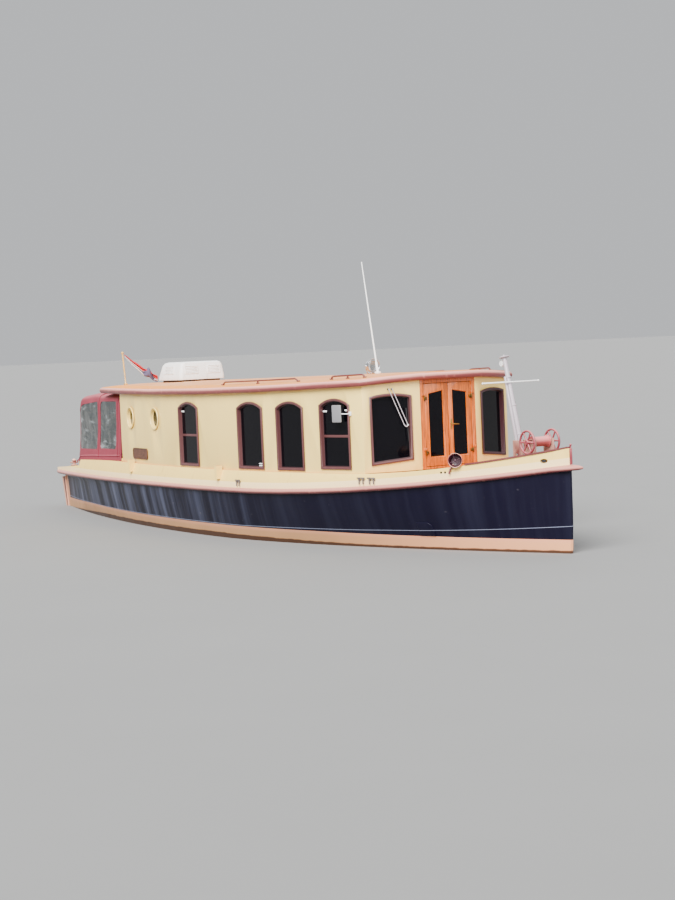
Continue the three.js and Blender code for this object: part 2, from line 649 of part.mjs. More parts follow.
// Aft bulkhead with its door to the cockpit
const AFT_DOOR = { half: 300, sill: 980, head: 1880, thick: 36 };
const aftHalf = cabinHalf(CABIN_AFT_X) - WALL - 2;
const aftBulkhead = cut(
  box(CABIN_AFT_X, CABIN_AFT_X + WALL, -aftHalf, aftHalf, DECK_Z + GAP, 2300),
  box(CABIN_AFT_X - 100, CABIN_AFT_X + 200, -AFT_DOOR.half, AFT_DOOR.half, AFT_DOOR.sill, AFT_DOOR.head),
  overRoof,
);
add('aft_bulkhead', toGeometry(aftBulkhead), 'cream');
const AFT_HINGE = { x: CABIN_AFT_X - 11, y: AFT_DOOR.half - 4 };
const aftDoor = join(
  box(CABIN_AFT_X + 3, CABIN_AFT_X + 3 + AFT_DOOR.thick, 6 - AFT_DOOR.half, AFT_DOOR.half - 6, AFT_DOOR.sill + 6, AFT_DOOR.head - 6),
  ...[1130, 1730].flatMap((z) => [
    rod([AFT_HINGE.x, AFT_HINGE.y, z - 30], [AFT_HINGE.x, AFT_HINGE.y, z + 30], 9, 12),
    box(AFT_HINGE.x, CABIN_AFT_X + 12, AFT_HINGE.y - 40, AFT_HINGE.y, z - 18, z + 18),
  ]),
);
add('aft_door', toGeometry(aftDoor), 'varnish');

// Half-round band round the roof's edge
const BAND = { reach: 38, up: -4, down: 90 };
const BAND_SECTION = [[0, 1], [0, -1], [0.6, -0.82], [0.95, -0.35], [1, 0], [0.95, 0.35], [0.6, 0.82]];

function roofBand() {
  const path = [];
  for (const x of roofXs) path.push([x, -roofHalf(x, ROOF_LIP)]);
  for (const x of [...roofXs].reverse()) path.push([x, roofHalf(x, ROOF_LIP)]);
  const rings = path.map(([x, y], i) => {
    const before = path[(i + path.length - 1) % path.length];
    const after = path[(i + 1) % path.length];
    const d0 = new THREE.Vector2(x - before[0], y - before[1]).normalize();
    const d1 = new THREE.Vector2(after[0] - x, after[1] - y).normalize();
    const n0 = new THREE.Vector2(d0.y, -d0.x);
    const n1 = new THREE.Vector2(d1.y, -d1.x);
    const normal = n0.clone().add(n1).normalize();
    const stretch = 1 / Math.max(0.6, normal.dot(n0));
    const edge = roofTopZ(x, y);
    const middle = edge + (BAND.up - BAND.down) / 2;
    const half = (BAND.up + BAND.down) / 2;
    return BAND_SECTION.map(([out, up]) => {
      const reach = (GAP + out * BAND.reach) * stretch;
      return [x + normal.x * reach, y + normal.y * reach, middle + up * half];
    });
  });
  return loft(rings, true);
}
add('roof_edge_band', toGeometry(roofBand()), 'maroon');

// Grab rails along both sides of the roof: where each starts and ends
const RAILS = [
  { name: 'aft', x0: 960, x1: 2710 },
  { name: 'fore', x0: 3340, x1: 3920 },
];
const RAIL = { inset: 170, high: 40, radius: 11 };
for (const side of SIDES) {
  for (const rail of RAILS) {
    const at = (x) => {
      const y = side.y * (cabinHalf(x) - RAIL.inset);
      return [x, y, roofTopZ(x, y)];
    };
    const span = rail.x1 - rail.x0;
    const raised = (x, up) => at(x).map((v, i) => (i === 2 ? v + up : v));
    const middle = [0.1, 0.3, 0.5, 0.7, 0.9].map((part) => raised(rail.x0 + part * span, RAIL.high));
    const bar = tube([
      raised(rail.x0, 6),
      raised(rail.x0 + 15, RAIL.high - 8),
      raised(rail.x0 + 50, RAIL.high),
      ...middle,
      raised(rail.x1 - 50, RAIL.high),
      raised(rail.x1 - 15, RAIL.high - 8),
      raised(rail.x1, 6),
    ], RAIL.radius, 5, 22);
    const feet = [rail.x0, (rail.x0 + rail.x1) / 2, rail.x1].map((x) => rod(raised(x, 1), raised(x, 14), 24, 12));
    const posts = [(rail.x0 + rail.x1) / 2].map((x) => rod(raised(x, 3), raised(x, RAIL.high), RAIL.radius, 10));
    add(`grab_rail_${side.name}_${rail.name}`, toGeometry(cut(join(bar, ...feet, ...posts), underRoof)), 'maroon');
  }
}

// Roof unit: a moulded box with sloping shoulders on a low plinth
const UNIT = { x0: -2510, x1: -1800, half: 385, foot: 2050, top: 2355 };
const unitRing = (z, side, aft, fore) => [
  [UNIT.x0 + aft, side - UNIT.half, z],
  [UNIT.x1 - fore, side - UNIT.half, z],
  [UNIT.x1 - fore, UNIT.half - side, z],
  [UNIT.x0 + aft, UNIT.half - side, z],
];
const unitHood = loft([
  unitRing(UNIT.foot + 40, 0, 0, 0),
  unitRing(UNIT.foot + 90, 0, 10, 0),
  unitRing(UNIT.top - 50, 28, 80, 10),
  unitRing(UNIT.top - 15, 50, 115, 18),
  unitRing(UNIT.top, 90, 160, 35),
]);
const unitFoot = box(UNIT.x0 + 60, UNIT.x1 - 60, -UNIT.half + 60, UNIT.half - 60, 2040, UNIT.foot + 60);
add('roof_unit', toGeometry(cut(join(unitHood, unitFoot), underRoof)), 'white');

// Searchlight and whip pole near the front of the roof
const onRoof = (x, y, up) => [x, y, roofTopZ(x, y) + up];
const LIGHT_Y = 0;
const light = join(
  rod(onRoof(2650, LIGHT_Y, GAP), onRoof(2650, LIGHT_Y, 14), 55, 20),
  rod(onRoof(2650, LIGHT_Y, 10), onRoof(2650, LIGHT_Y, 60), 14, 12),
  rod([2590, LIGHT_Y, 2214], [2700, LIGHT_Y, 2214], 70, 20, 92),
  rod([2700, LIGHT_Y, 2214], [2716, LIGHT_Y, 2214], 96, 20),
);
add('searchlight', toGeometry(cut(light, underRoof)), 'chrome');
const whip = join(
  rod(onRoof(2800, 0, GAP), onRoof(2800, 0, 24), 42, 16),
  rod(onRoof(2800, 0, 10), [2770, 0, 2260], 16, 12),
  rod([2772, 0, 2250], [2530, 0, 3570], 11, 10, 6),
);
add('whip_pole', toGeometry(cut(whip, underRoof)), 'white');

// Flagpole and the flag that hangs from it
const POLE = { x: -3270, y: -535, top: 2520 };
const pole = join(
  rod(onRoof(POLE.x, POLE.y, GAP), onRoof(POLE.x, POLE.y, 20), 32, 14),
  rod(onRoof(POLE.x, POLE.y, 10), [POLE.x - 60, POLE.y, POLE.top], 12, 10),
  ball([POLE.x - 60, POLE.y, POLE.top + 10], 22),
);
add('flagpole', toGeometry(cut(pole, underRoof)), 'pine');
const FLAG = { fly: 620, hoist: 330, thick: 8 };
const flag = loft([0, 0.25, 0.5, 0.75, 1].map((part) => {
  const x = POLE.x - 40 + part * 260;
  const y = POLE.y + 26 + part * 420;
  const top = POLE.top - 20 - part * 350;
  const bottom = top - 110 - part * 40;
  const low = Math.max(bottom, roofTopZ(x, y) + 8);
  return [[x - 5, y - FLAG.thick, low], [x + 5, y + FLAG.thick, low], [x + 5, y + FLAG.thick, top], [x - 5, y - FLAG.thick, top]];
}));
add('flag', toGeometry(flag), 'bunting');

// Mast in its step on the foredeck: it lowers aft about a pin
const MAST = { pin: [5735, 0, 1120], top: [5455, 0, 2270], radius: 36, tip: 26 };
const mastLine = (z) => {
  const part = (z - MAST.pin[2]) / (MAST.top[2] - MAST.pin[2]);
  return MAST.pin[0] + (MAST.top[0] - MAST.pin[0]) * part;
};
const YARD = { z: 1975, half: 420 };
const mast = join(
  rod([mastLine(985), 0, 985], MAST.top, MAST.radius, 16, MAST.tip),
  rod([MAST.pin[0], -58, MAST.pin[2]], [MAST.pin[0], 58, MAST.pin[2]], 12, 12),
  rod([mastLine(2265), 0, 2265], [mastLine(2285), 0, 2285], 62, 20),
  rod([mastLine(2284), 0, 2284], [mastLine(2300), 0, 2300], 20, 12),
  box(mastLine(2200) - 85, mastLine(2200) - 15, -22, 22, 2160, 2240),
  rod([mastLine(YARD.z), -YARD.half, YARD.z], [mastLine(YARD.z), YARD.half, YARD.z], 9, 10),
);
add('mast', toGeometry(mast), 'grey');
const cheek = (y) => box(5650, 5826, y - 6, y + 6, DECK_Z + 20, 1290);
const mastStep = cut(
  join(
    box(5600, 5870, -110, 110, DECK_Z + GAP, DECK_Z + 22),
    cheek(-70),
    cheek(70),
    box(5688, 5704, -76, 76, DECK_Z + 20, 1010),
  ),
  rod([MAST.pin[0], -200, MAST.pin[2]], [MAST.pin[0], 200, MAST.pin[2]], 12.6, 16),
);
add('mast_step', toGeometry(mastStep), 'maroon');

// Windlass: a frame across the foredeck, and a drum with two spoked hand wheels on one axle
const WINDLASS = { x: 6060, z: 1278, wheelY: 184, wheel: 144, drum: 62 };

function spokedWheel(y) {
  const rim = new THREE.TorusGeometry(WINDLASS.wheel - 12, 12, 6, 20);
  rim.rotateX(Math.PI / 2);
  rim.translate(WINDLASS.x, y, WINDLASS.z);
  const spokes = [0, 1, 2, 3, 4, 5].map((i) => {
    const angle = (i / 6) * Math.PI * 2;
    const reach = WINDLASS.wheel - 12;
    return rod(
      [WINDLASS.x, y, WINDLASS.z],
      [WINDLASS.x + Math.cos(angle) * reach, y, WINDLASS.z + Math.sin(angle) * reach],
      8,
      8,
    );
  });
  const hub = rod([WINDLASS.x, y - 20, WINDLASS.z], [WINDLASS.x, y + 20, WINDLASS.z], 30, 16);
  return join(toSolid(rim), hub, ...spokes);
}
const onAxle = (y0, y1, radius, sides = 16) => rod([WINDLASS.x, y0, WINDLASS.z], [WINDLASS.x, y1, WINDLASS.z], radius, sides);
add('windlass_drum', toGeometry(join(
  spokedWheel(-WINDLASS.wheelY),
  spokedWheel(WINDLASS.wheelY),
  onAxle(-WINDLASS.wheelY, WINDLASS.wheelY, 16),
  onAxle(-105, 105, WINDLASS.drum, 20),
  onAxle(-112, -100, 84, 20),
  onAxle(100, 112, 84, 20),
)), 'maroon');
const windlassPlate = (y) => prism([
  [WINDLASS.x - 95, y - 6],
  [WINDLASS.x + 95, y - 6],
  [WINDLASS.x + 95, y + 6],
  [WINDLASS.x - 95, y + 6],
], DECK_Z + 20, WINDLASS.z + 34);
const windlassFrame = cut(
  join(
    box(WINDLASS.x - 130, WINDLASS.x + 130, -175, 175, DECK_Z + GAP, DECK_Z + 24),
    windlassPlate(-134),
    windlassPlate(134),
    rod([WINDLASS.x + 60, -134, 1020], [WINDLASS.x + 60, 134, 1020], 12, 12),
  ),
  onAxle(-300, 300, 16.7, 20),
);
add('windlass_frame', toGeometry(windlassFrame), 'maroon');

// Cowl on a short stalk on the starboard bulwark
const COWL = { x: 5335, z: 1085, y: -692 };
const cowlMouth = cut(
  rod([COWL.x - 40, COWL.y + 45, COWL.z - 5], [COWL.x + 40, COWL.y - 35, COWL.z + 5], 62, 20, 88),
  rod([COWL.x - 5, COWL.y + 12, COWL.z - 1], [COWL.x + 52, COWL.y - 46, COWL.z + 6], 42, 20, 74),
);
const cowl = cut(
  join(cowlMouth, rod([COWL.x - 70, COWL.y - 52, 925], [COWL.x - 14, COWL.y - 20, COWL.z - 40], 13, 10, 16)),
  hullClear,
);
add('cowl', toGeometry(cowl), 'maroon');

// Rudder, hung on the raked sternpost, and the propeller ahead of it
const RUDDER = { rake: 0.17, foot: -590, head: 504, post: -6600, lead: 22, thick: 36, stock: 24 };
const stockX = (z) => RUDDER.post - RUDDER.rake * z;      // the sternpost leans aft as it rises
const rudderShape = new THREE.Shape([
  [RUDDER.lead, RUDDER.foot],
  [RUDDER.lead, RUDDER.head - 14],
  [-108, RUDDER.head - 14],
  [-74, 0],
  [-92, -110],
  [-330, -200],
  [-450, -330],
  [-490, -520],
  [-450, RUDDER.foot],
].map(([back, z]) => new THREE.Vector2(stockX(z) + back, z)));
const rudderPlate = new THREE.ExtrudeGeometry(rudderShape, { depth: RUDDER.thick, bevelEnabled: false });
rudderPlate.translate(0, 0, -RUDDER.thick / 2);
rudderPlate.rotateX(Math.PI / 2);
const stock = rod(
  [stockX(RUDDER.foot), 0, RUDDER.foot],
  [stockX(RUDDER.head), 0, RUDDER.head],
  RUDDER.stock,
  14,
);
add('rudder', toGeometry(join(toSolid(rudderPlate), stock)), 'maroon');

function propeller() {
  const hub = join(
    rod([PROP.x - 60, 0, PROP.z], [PROP.x + 60, 0, PROP.z], 38, 18, 44),
    rod([PROP.x, 0, PROP.z], [PROP.x + 74, 0, PROP.z], 18, 14),
    rod([PROP.x - 100, 0, PROP.z], [PROP.x - 60, 0, PROP.z], 12, 18, 38),
  );
  const blades = [0, 1, 2].map((i) => {
    const shape = new THREE.Shape();
    shape.absellipse(0, 105, 62, 80, 0, Math.PI * 2, false);
    const blade = new THREE.ExtrudeGeometry(shape, { depth: 12, bevelEnabled: false, curveSegments: 12 });
    blade.translate(0, 0, -6);
    blade.rotateY(Math.PI / 2 - 0.6);
    blade.rotateX((i / 3) * Math.PI * 2);
    blade.translate(PROP.x, 0, PROP.z);
    return toSolid(blade);
  });
  return join(hub, ...blades);
}
add('propeller', toGeometry(propeller()), 'bronze');

// Stern bollard with its round head on the after deck
const sternTop = afterDeckZ(-6330);
add('stern_bollard', toGeometry(join(
  rod([-6330, 0, sternTop + 5], [-6330, 0, sternTop + 22], 58, 20),
  rod([-6330, 0, sternTop + 12], [-6330, 0, sternTop + 84], 27, 16),
  rod([-6330, -70, sternTop + 58], [-6330, 70, sternTop + 58], 11, 12),
  ball([-6330, 0, sternTop + 88], 36, 0.9),
)), 'maroon');

// Cockpit benches along both sides, joined across the stern end
const BENCH = { high: 640, width: 330, x1: -3000 };
const benchBlock = box(COCKPIT_AFT_X, BENCH.x1, -1300, 1300, COCKPIT_Z + 28 + GAP, BENCH.high);
const benchWell = well(COCKPIT_AFT_X + 10, BENCH.x1, COCKPIT_Z, HULL_WALL + 6, [500, ABOVE]);
const footWell = well(COCKPIT_AFT_X + 520, BENCH.x1 + 50, COCKPIT_Z - 50, HULL_WALL + BENCH.width, [500, ABOVE]);
add('cockpit_bench', toGeometry(cut(benchBlock.intersect(benchWell), footWell)), 'teak');

// Helm behind the starboard front window: console and wheel
const HELM = { x: 3400, y: -560, z: 1120, radius: 230 };
const console = join(
  box(HELM.x + 60, HELM.x + 330, HELM.y - 260, HELM.y + 260, SOLE_Z + 30 + GAP, 1010),
  box(HELM.x + 60, HELM.x + 200, HELM.y - 200, HELM.y + 200, 1000, 1190),
);
add('helm_console', toGeometry(console), 'teak');
function helmWheel() {
  const rim = new THREE.TorusGeometry(HELM.radius, 15, 6, 22);
  rim.rotateY(Math.PI / 2);
  rim.translate(HELM.x, HELM.y, HELM.z);
  const spokes = [0, 1, 2, 3, 4, 5].map((i) => {
    const angle = (i / 6) * Math.PI * 2;
    const tip = [HELM.x, HELM.y + Math.cos(angle) * HELM.radius, HELM.z + Math.sin(angle) * HELM.radius];
    return rod([HELM.x, HELM.y, HELM.z], tip, 9, 8);
  });
  return join(toSolid(rim), rod([HELM.x - 25, HELM.y, HELM.z], [HELM.x + 59, HELM.y, HELM.z], 32, 16), ...spokes);
}
add('helm_wheel', toGeometry(helmWheel()), 'varnish');

// Canvas hood over the cockpit: a shell closed aft, open below and towards the cabin.
// Columns are the place along the boat, half width at the foot, at the shoulder and of the top, and its height
const HOOD_STATIONS = [
  { x: -2470, foot: 1050, shoulder: 1030, top: 1922 },
  { x: -3340, foot: 887, shoulder: 862, top: 1926 },
  { x: -4000, foot: 741, shoulder: 716, top: 1942 },
  { x: -4600, foot: 594, shoulder: 596, top: 1905 },
  { x: -4840, foot: 532, shoulder: 550, top: 1865 },
  { x: -5010, foot: 486, shoulder: 476, top: 1745 },
  { x: -5100, foot: 463, shoulder: 436, top: 1440 },
  { x: -5185, foot: 440, shoulder: 390, top: 965 },
];
const HOOD = { skin: 14, lap: 4 };

// Coaming round the cockpit, which the hood stands on
const COAMING = { outer: 85, inner: 132, fore: -2470, aft: -5215, high: 962, low: 860 };
const coamingTop = (x) => COAMING.low + (COAMING.high - COAMING.low) * ((x - COAMING.aft) / (COAMING.fore - COAMING.aft));

function coamingLine(inset, x1) {
  return Array.from({ length: 13 }, (_, i) => {
    const x = COAMING.fore + (x1 - COAMING.fore) * (i / 12);
    return [x, deckLine(x, -inset)];
  });
}

function coamingSolid(outer, inner, grow) {
  const out = coamingLine(outer, COAMING.aft - grow);
  const inn = coamingLine(inner, COAMING.aft + 60 + grow);
  const mirrored = (line) => line.map(([x, y]) => [x, -y]);
  const ring = prism([...out, ...mirrored(out).reverse(), ...mirrored(inn), ...[...inn].reverse()], 690, 1200);
  const above = loft([COAMING.aft - 200, COAMING.fore + 200].map((x) => {
    const z = coamingTop(x) + grow;
    return [[x, -2000, z], [x, 2000, z], [x, 2000, 1500], [x, -2000, 1500]];
  }));
  return cut(ring, above);
}
add('cockpit_coaming', toGeometry(cut(coamingSolid(COAMING.outer, COAMING.inner, 0), hullClear)), 'cream');
const coamingClear = coamingSolid(COAMING.outer - 30, COAMING.inner + 30, HOOD.lap);

function hoodRing({ x, foot, shoulder, top }, inset) {
  const low = coamingTop(x) - inset * 6;
  const high = top - inset;
  const rise = high - low;
  const side = [
    [foot - inset, low],
    [(foot + shoulder) / 2 - inset, low + rise * 0.5],
    [shoulder - inset, low + rise * 0.86],
    [shoulder * 0.89 - inset, low + rise * 0.97],
    [shoulder * 0.5, high],
  ];
  return [...side.map(([y, z]) => [x, -y, z]), ...side.reverse().map(([y, z]) => [x, y, z])];
}
const hoodOuter = loft([...HOOD_STATIONS].reverse().map((row) => hoodRing(row, 0)));
const hoodInnerRows = HOOD_STATIONS.map((row, i) => {
  if (i === 0) return { ...row, x: row.x + 60 };
  return i === HOOD_STATIONS.length - 1 ? { ...row, x: row.x + HOOD.skin * 2 } : row;
});
const hoodInner = loft([...hoodInnerRows].reverse().map((row) => hoodRing(row, HOOD.skin)));
add('cockpit_hood', toGeometry(cut(hoodOuter, hoodInner, coamingClear)), 'canvas');

export default boat;
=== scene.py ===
"""Finishes and fittings of a double-ended canal houseboat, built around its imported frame.

Everything is in metres: +X towards the bow, +Y to port, +Z up, the waterline at zero.
"""

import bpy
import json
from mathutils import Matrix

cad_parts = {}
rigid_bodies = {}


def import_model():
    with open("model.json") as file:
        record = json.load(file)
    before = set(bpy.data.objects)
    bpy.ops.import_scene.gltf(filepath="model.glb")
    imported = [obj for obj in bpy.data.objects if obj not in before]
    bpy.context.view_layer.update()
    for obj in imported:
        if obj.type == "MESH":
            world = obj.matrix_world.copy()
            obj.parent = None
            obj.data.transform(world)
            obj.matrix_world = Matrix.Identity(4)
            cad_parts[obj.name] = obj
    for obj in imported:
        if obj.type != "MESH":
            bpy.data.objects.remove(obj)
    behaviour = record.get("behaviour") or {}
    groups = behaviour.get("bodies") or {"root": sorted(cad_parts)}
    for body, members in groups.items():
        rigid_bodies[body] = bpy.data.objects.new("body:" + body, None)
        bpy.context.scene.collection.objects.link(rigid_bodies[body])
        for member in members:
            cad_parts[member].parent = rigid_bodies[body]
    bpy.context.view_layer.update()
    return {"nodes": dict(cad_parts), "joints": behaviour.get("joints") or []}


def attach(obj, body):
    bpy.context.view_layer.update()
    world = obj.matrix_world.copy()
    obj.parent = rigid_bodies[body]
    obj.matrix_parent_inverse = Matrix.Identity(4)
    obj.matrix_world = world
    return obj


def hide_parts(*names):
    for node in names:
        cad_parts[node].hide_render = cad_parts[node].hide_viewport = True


bl_info = {
    "name": "Canal houseboat",
    "version": (1, 0, 0),
    "blender": (4, 5, 0),
    "location": "3D View > Sidebar > Houseboat",
    "description": "Dresses a canal houseboat: paint, windows, doors, hood, deck gear and a plain studio",
    "category": "Object",
}

import json
import math

import bpy
from bpy.props import FloatProperty, FloatVectorProperty, IntProperty, PointerProperty
from mathutils import Matrix, Vector, noise

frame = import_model()
NODES = frame["nodes"]
PINS = {joint["name"]: joint["pos_m"] for joint in frame["joints"]}
SIDES = (("starboard", -1), ("port", 1))

# Lines of the boat

LEVELS = (  # height, aft end, fore end, half beam, widest place, fullness aft and fore
    (-0.65, -5.3, 5.3, 0.12, 0.0, 10, 8),
    (-0.6, -5.35, 5.7, 0.62, 0.6, 2.2, 2.0),
    (-0.48, -5.5, 6.05, 1.02, 0.9, 2.0, 1.8),
    (-0.23, -5.75, 6.4, 1.28, 1.1, 1.9, 1.7),
    (0.0, -6.54, 6.566, 1.37, 1.15, 1.79, 1.65),
    (0.3, -6.591, 6.588, 1.44, 1.13, 1.85, 1.95),
    (0.51, -6.627, 6.595, 1.48, 1.11, 1.89, 2.15),
)
DECK_EDGE = (0.0, -6.95, 6.6, 1.5, 1.1, 1.82, 2.35)
FRONT_X = 4.3
KNUCKLE_X = 4.05
STRAKE_LOW_X = 1.2
CABIN_WIDE_X = 1.1
BOW_RISE_X = 3.5


def level_half(level, x):
    """Half beam of one level of the hull."""
    _, aft, fore, half, widest, power_aft, power_fore = level
    ahead = x > widest
    reach = fore - widest if ahead else widest - aft
    part = min(1.0, abs(x - widest) / reach)
    return max(0.016, half * (1 - part ** (power_fore if ahead else power_aft)))


def deck_half(x):
    return level_half(DECK_EDGE, x)


def strake_line(fore, aft):
    """Lower edge of the strake, this far ahead of its lowest place or behind it; takes node signals too."""
    return 0.661 + (fore / 5.42) ** 2.25 * 0.332 - (aft / 8.15) ** 2.1 * 0.09


def strake_z(x):
    return strake_line(max(0.0, x - STRAKE_LOW_X), max(0.0, STRAKE_LOW_X - x))


def bulwark_z(x):
    if x > 3.9:
        return 0.92 + 0.29 * ((x - 3.9) / 2.7) ** 1.8
    return 0.92 if x > -2.6 else 0.92 - 0.15 * ((-2.6 - x) / 4.35) ** 1.3


def side_lean(x):
    return 0.048 * max(0.0, min(1.0, (4.7 - x) / 1.4, (x + 6.0) / 1.2))


def hull_half(x, z):
    """Half beam of the hull at any place and height."""
    rows = list(LEVELS) + [(strake_z(x),) + DECK_EDGE[1:]]
    for low, high in zip(rows, rows[1:]):
        if z <= high[0]:
            part = max(0.0, (z - low[0]) / (high[0] - low[0]))
            return level_half(low, x) * (1 - part) + level_half(high, x) * part
    knee = strake_z(x) + 0.112
    lean = side_lean(x) * max(0.0, min(1.0, (z - knee) / (bulwark_z(x) - knee)))
    return deck_half(x) - lean


def cabin_taper(along):
    """How far the cabin side curves in at a distance from its widest place; takes node signals too."""
    return (0.0287 + (along > 0.0) * 0.0081) * (along * along)


def cabin_half(x):
    return 1.43 - cabin_taper(x - CABIN_WIDE_X)


def roof_z(x, y):
    return 2.085 + 0.01 * x - 0.038 * y * y


def side_wall(x0, x1, side):
    """A frame on the cabin side: u runs along the wall from 0, w stands out of it."""
    start = Vector((x0, side * cabin_half(x0), 0))
    end = Vector((x1, side * cabin_half(x1), 0))
    return wall_frame(start, end, side)


def front_wall(side):
    """The same on the angled front panel, from its knuckle to the door frame."""
    start = Vector((KNUCKLE_X, side * cabin_half(KNUCKLE_X), 0))
    return wall_frame(start, Vector((FRONT_X, side * 0.42, 0)), side)


def wall_frame(start, end, side):
    along = (end - start).normalized()
    out = Vector((-along.y, along.x, 0)) * side
    return lambda co: start + along * co.x + out * co.y + Vector((0, 0, co.z))


# Modelling by hand


def leave_edit():
    if bpy.context.mode != "OBJECT":
        bpy.ops.object.mode_set(mode="OBJECT")


def clear_selection():
    leave_edit()
    bpy.ops.object.select_all(action="DESELECT")


def only(obj):
    """Leaves just this piece selected and active, in object mode."""
    clear_selection()
    obj.select_set(True)
    bpy.context.view_layer.objects.active = obj


def remove(obj):
    only(obj)
    bpy.ops.object.delete()


def named(name):
    obj = bpy.context.active_object
    obj.name = name
    obj.data.name = name
    return obj


def settle(obj):
    only(obj)
    bpy.ops.object.transform_apply(location=True, rotation=True, scale=True)
    return obj


def block(name, low, high):
    """A box between two corners."""
    clear_selection()
    centre = [(a + b) / 2 for a, b in zip(low, high)]
    bpy.ops.mesh.primitive_cube_add(size=1, location=centre)
    obj = named(name)
    obj.scale = [abs(b - a) for a, b in zip(low, high)]
    return settle(obj)


def edit(obj):
    only(obj)
    bpy.ops.object.mode_set(mode="EDIT")


def pick(obj, test):
    """Selects the faces whose centre and normal pass the test, and stays in edit mode."""
    edit(obj)
    bpy.ops.mesh.select_mode(type="FACE")
    bpy.ops.mesh.select_all(action="DESELECT")
    leave_edit()
    for face in obj.data.polygons:
        face.select = bool(test(face.center, face.normal))
    bpy.ops.object.mode_set(mode="EDIT")


def bisect(obj, axis, places):
    """Cuts a piece across one axis at each place."""
    normal = [0, 0, 0]
    normal["xyz".index(axis)] = 1
    for place in places:
        edit(obj)
        bpy.ops.mesh.select_all(action="SELECT")
        point = [place if n else 0 for n in normal]
        bpy.ops.mesh.bisect(plane_co=point, plane_no=normal)
    leave_edit()


def bevel_where(obj, test, width, segments, profile=0.5):
    """Rounds the edges whose two ends pass the test."""
    edit(obj)
    bpy.ops.mesh.select_mode(type="EDGE")
    bpy.ops.mesh.select_all(action="DESELECT")
    leave_edit()
    for edge in obj.data.edges:
        edge.select = test(*(obj.data.vertices[i].co for i in edge.vertices))
    edit(obj)
    bpy.ops.mesh.bevel(offset=width, segments=segments, profile=profile)
    leave_edit()


def inset(width, depth=0.0):
    bpy.ops.mesh.inset(thickness=width, depth=depth, use_even_offset=True)


def extrude(move):
    bpy.ops.mesh.extrude_region_move(TRANSFORM_OT_translate={"value": move})


def recolour(obj, test, index=1):
    """Gives the faces whose centre and normal pass the test another finish of the piece."""
    for face in obj.data.polygons:
        if test(face.center, face.normal):
            face.material_index = index


def assign(obj, index):
    obj.active_material_index = index
    bpy.ops.object.material_slot_assign()


def reshape(obj, place):
    """Moves every vertex to the place worked out for it."""
    leave_edit()
    for vertex in obj.data.vertices:
        vertex.co = place(vertex.co.copy())
    obj.data.update()
    return obj


def face_out(obj):
    """Merges doubles and turns the faces of a closed piece outwards."""
    edit(obj)
    bpy.ops.mesh.select_all(action="SELECT")
    bpy.ops.mesh.remove_doubles(threshold=1e-5)
    bpy.ops.mesh.normals_make_consistent(inside=False)
    leave_edit()
    return obj


def with_modifier(obj, kind, **settings):
    """Adds a modifier with these settings and applies it."""
    only(obj)
    modifier = obj.modifiers.new(kind.title(), kind)
    for key, value in settings.items():
        setattr(modifier, key, value)
    bpy.ops.object.modifier_apply(modifier=modifier.name)
    return obj


def soften(obj, width=0.003, segments=2, angle=40):
    return with_modifier(
        obj, "BEVEL", width=width, segments=segments, limit_method="ANGLE", angle_limit=math.radians(angle)
    )


def smooth(obj, angle=35):
    only(obj)
    bpy.ops.object.shade_smooth_by_angle(angle=math.radians(angle))
    return obj


def turned(name, rows, sides=32):
    """A turned piece about Z: rows of radius and height from one end of its profile to the other."""
    clear_selection()
    last = len(rows) - 1
    bpy.ops.mesh.primitive_cylinder_add(vertices=sides, radius=1, depth=last, location=(0, 0, last / 2))
    obj = settle(named(name))
    bisect(obj, "z", range(1, last))

    def place(co):
        radius, height = rows[round(co.z)]
        flat = Vector((co.x, co.y, 0)).normalized() * max(radius, 1e-4)
        return Vector((flat.x, flat.y, height))

    reshape(obj, place)
    return face_out(obj)


def both_ways(half):
    """The rows of a profile that is the same on both sides of its middle, from those of its upper half."""
    return [(radius, -height) for radius, height in reversed(half) if height] + list(half)


def bar(name, start, end, radius, sides=12, end_radius=None, soft=0.0):
    """A round bar between two points, tapered if it has an end radius."""
    start, end = Vector(start), Vector(end)
    clear_selection()
    bpy.ops.mesh.primitive_cone_add(
        vertices=sides, radius1=radius, radius2=radius if end_radius is None else end_radius,
        depth=(end - start).length, location=(start + end) / 2,
        rotation=(end - start).to_track_quat("Z", "Y").to_euler(),
    )
    obj = settle(named(name))
    if soft:
        soften(obj, soft, 2, 50)
    return obj


def bar_pair(name, start, end, *shape, **more):
    """The same bar on both sides of the boat, starboard first."""
    return [
        bar(name, (start[0], start[1] * way, start[2]), (end[0], end[1] * way, end[2]), *shape, **more)
        for _, way in SIDES
    ]


def aimed(origin, direction):
    """Where the points of a piece made about Z go when its origin and its Z are put as told."""
    turn = Vector(direction).to_track_quat("Z", "Y")
    return lambda co: Vector(origin) + turn @ co


def aim(obj, origin, direction):
    return reshape(obj, aimed(origin, direction))


def tube(name, points, radius, sides=10, smooth_path=True):
    """A round tube along points."""
    curve = bpy.data.curves.new(name, "CURVE")
    curve.dimensions = "3D"
    curve.bevel_depth = radius
    curve.bevel_resolution = max(1, sides // 4)
    curve.use_fill_caps = True
    spline = curve.splines.new("NURBS" if smooth_path else "POLY")
    spline.points.add(len(points) - 1)
    for point, co in zip(spline.points, points):
        point.co = (*co, 1)
    if smooth_path:
        spline.order_u = 3
        spline.use_endpoint_u = True
        spline.resolution_u = 4
    obj = bpy.data.objects.new(name, curve)
    bpy.context.scene.collection.objects.link(obj)
    only(obj)
    bpy.ops.object.convert(target="MESH")
    return face_out(named(name))


def joined(name, pieces):
    """Joins pieces into one, keeping their materials."""
    clear_selection()
    for piece in pieces:
        piece.select_set(True)
    bpy.context.view_layer.objects.active = pieces[0]
    if len(pieces) > 1:
        bpy.ops.object.join()
    return named(name)


def assembled(name, pieces, angle=40):
    """Joins painted pieces into one closed and smoothly shaded piece."""
    return smooth(face_out(joined(name, pieces)), angle)


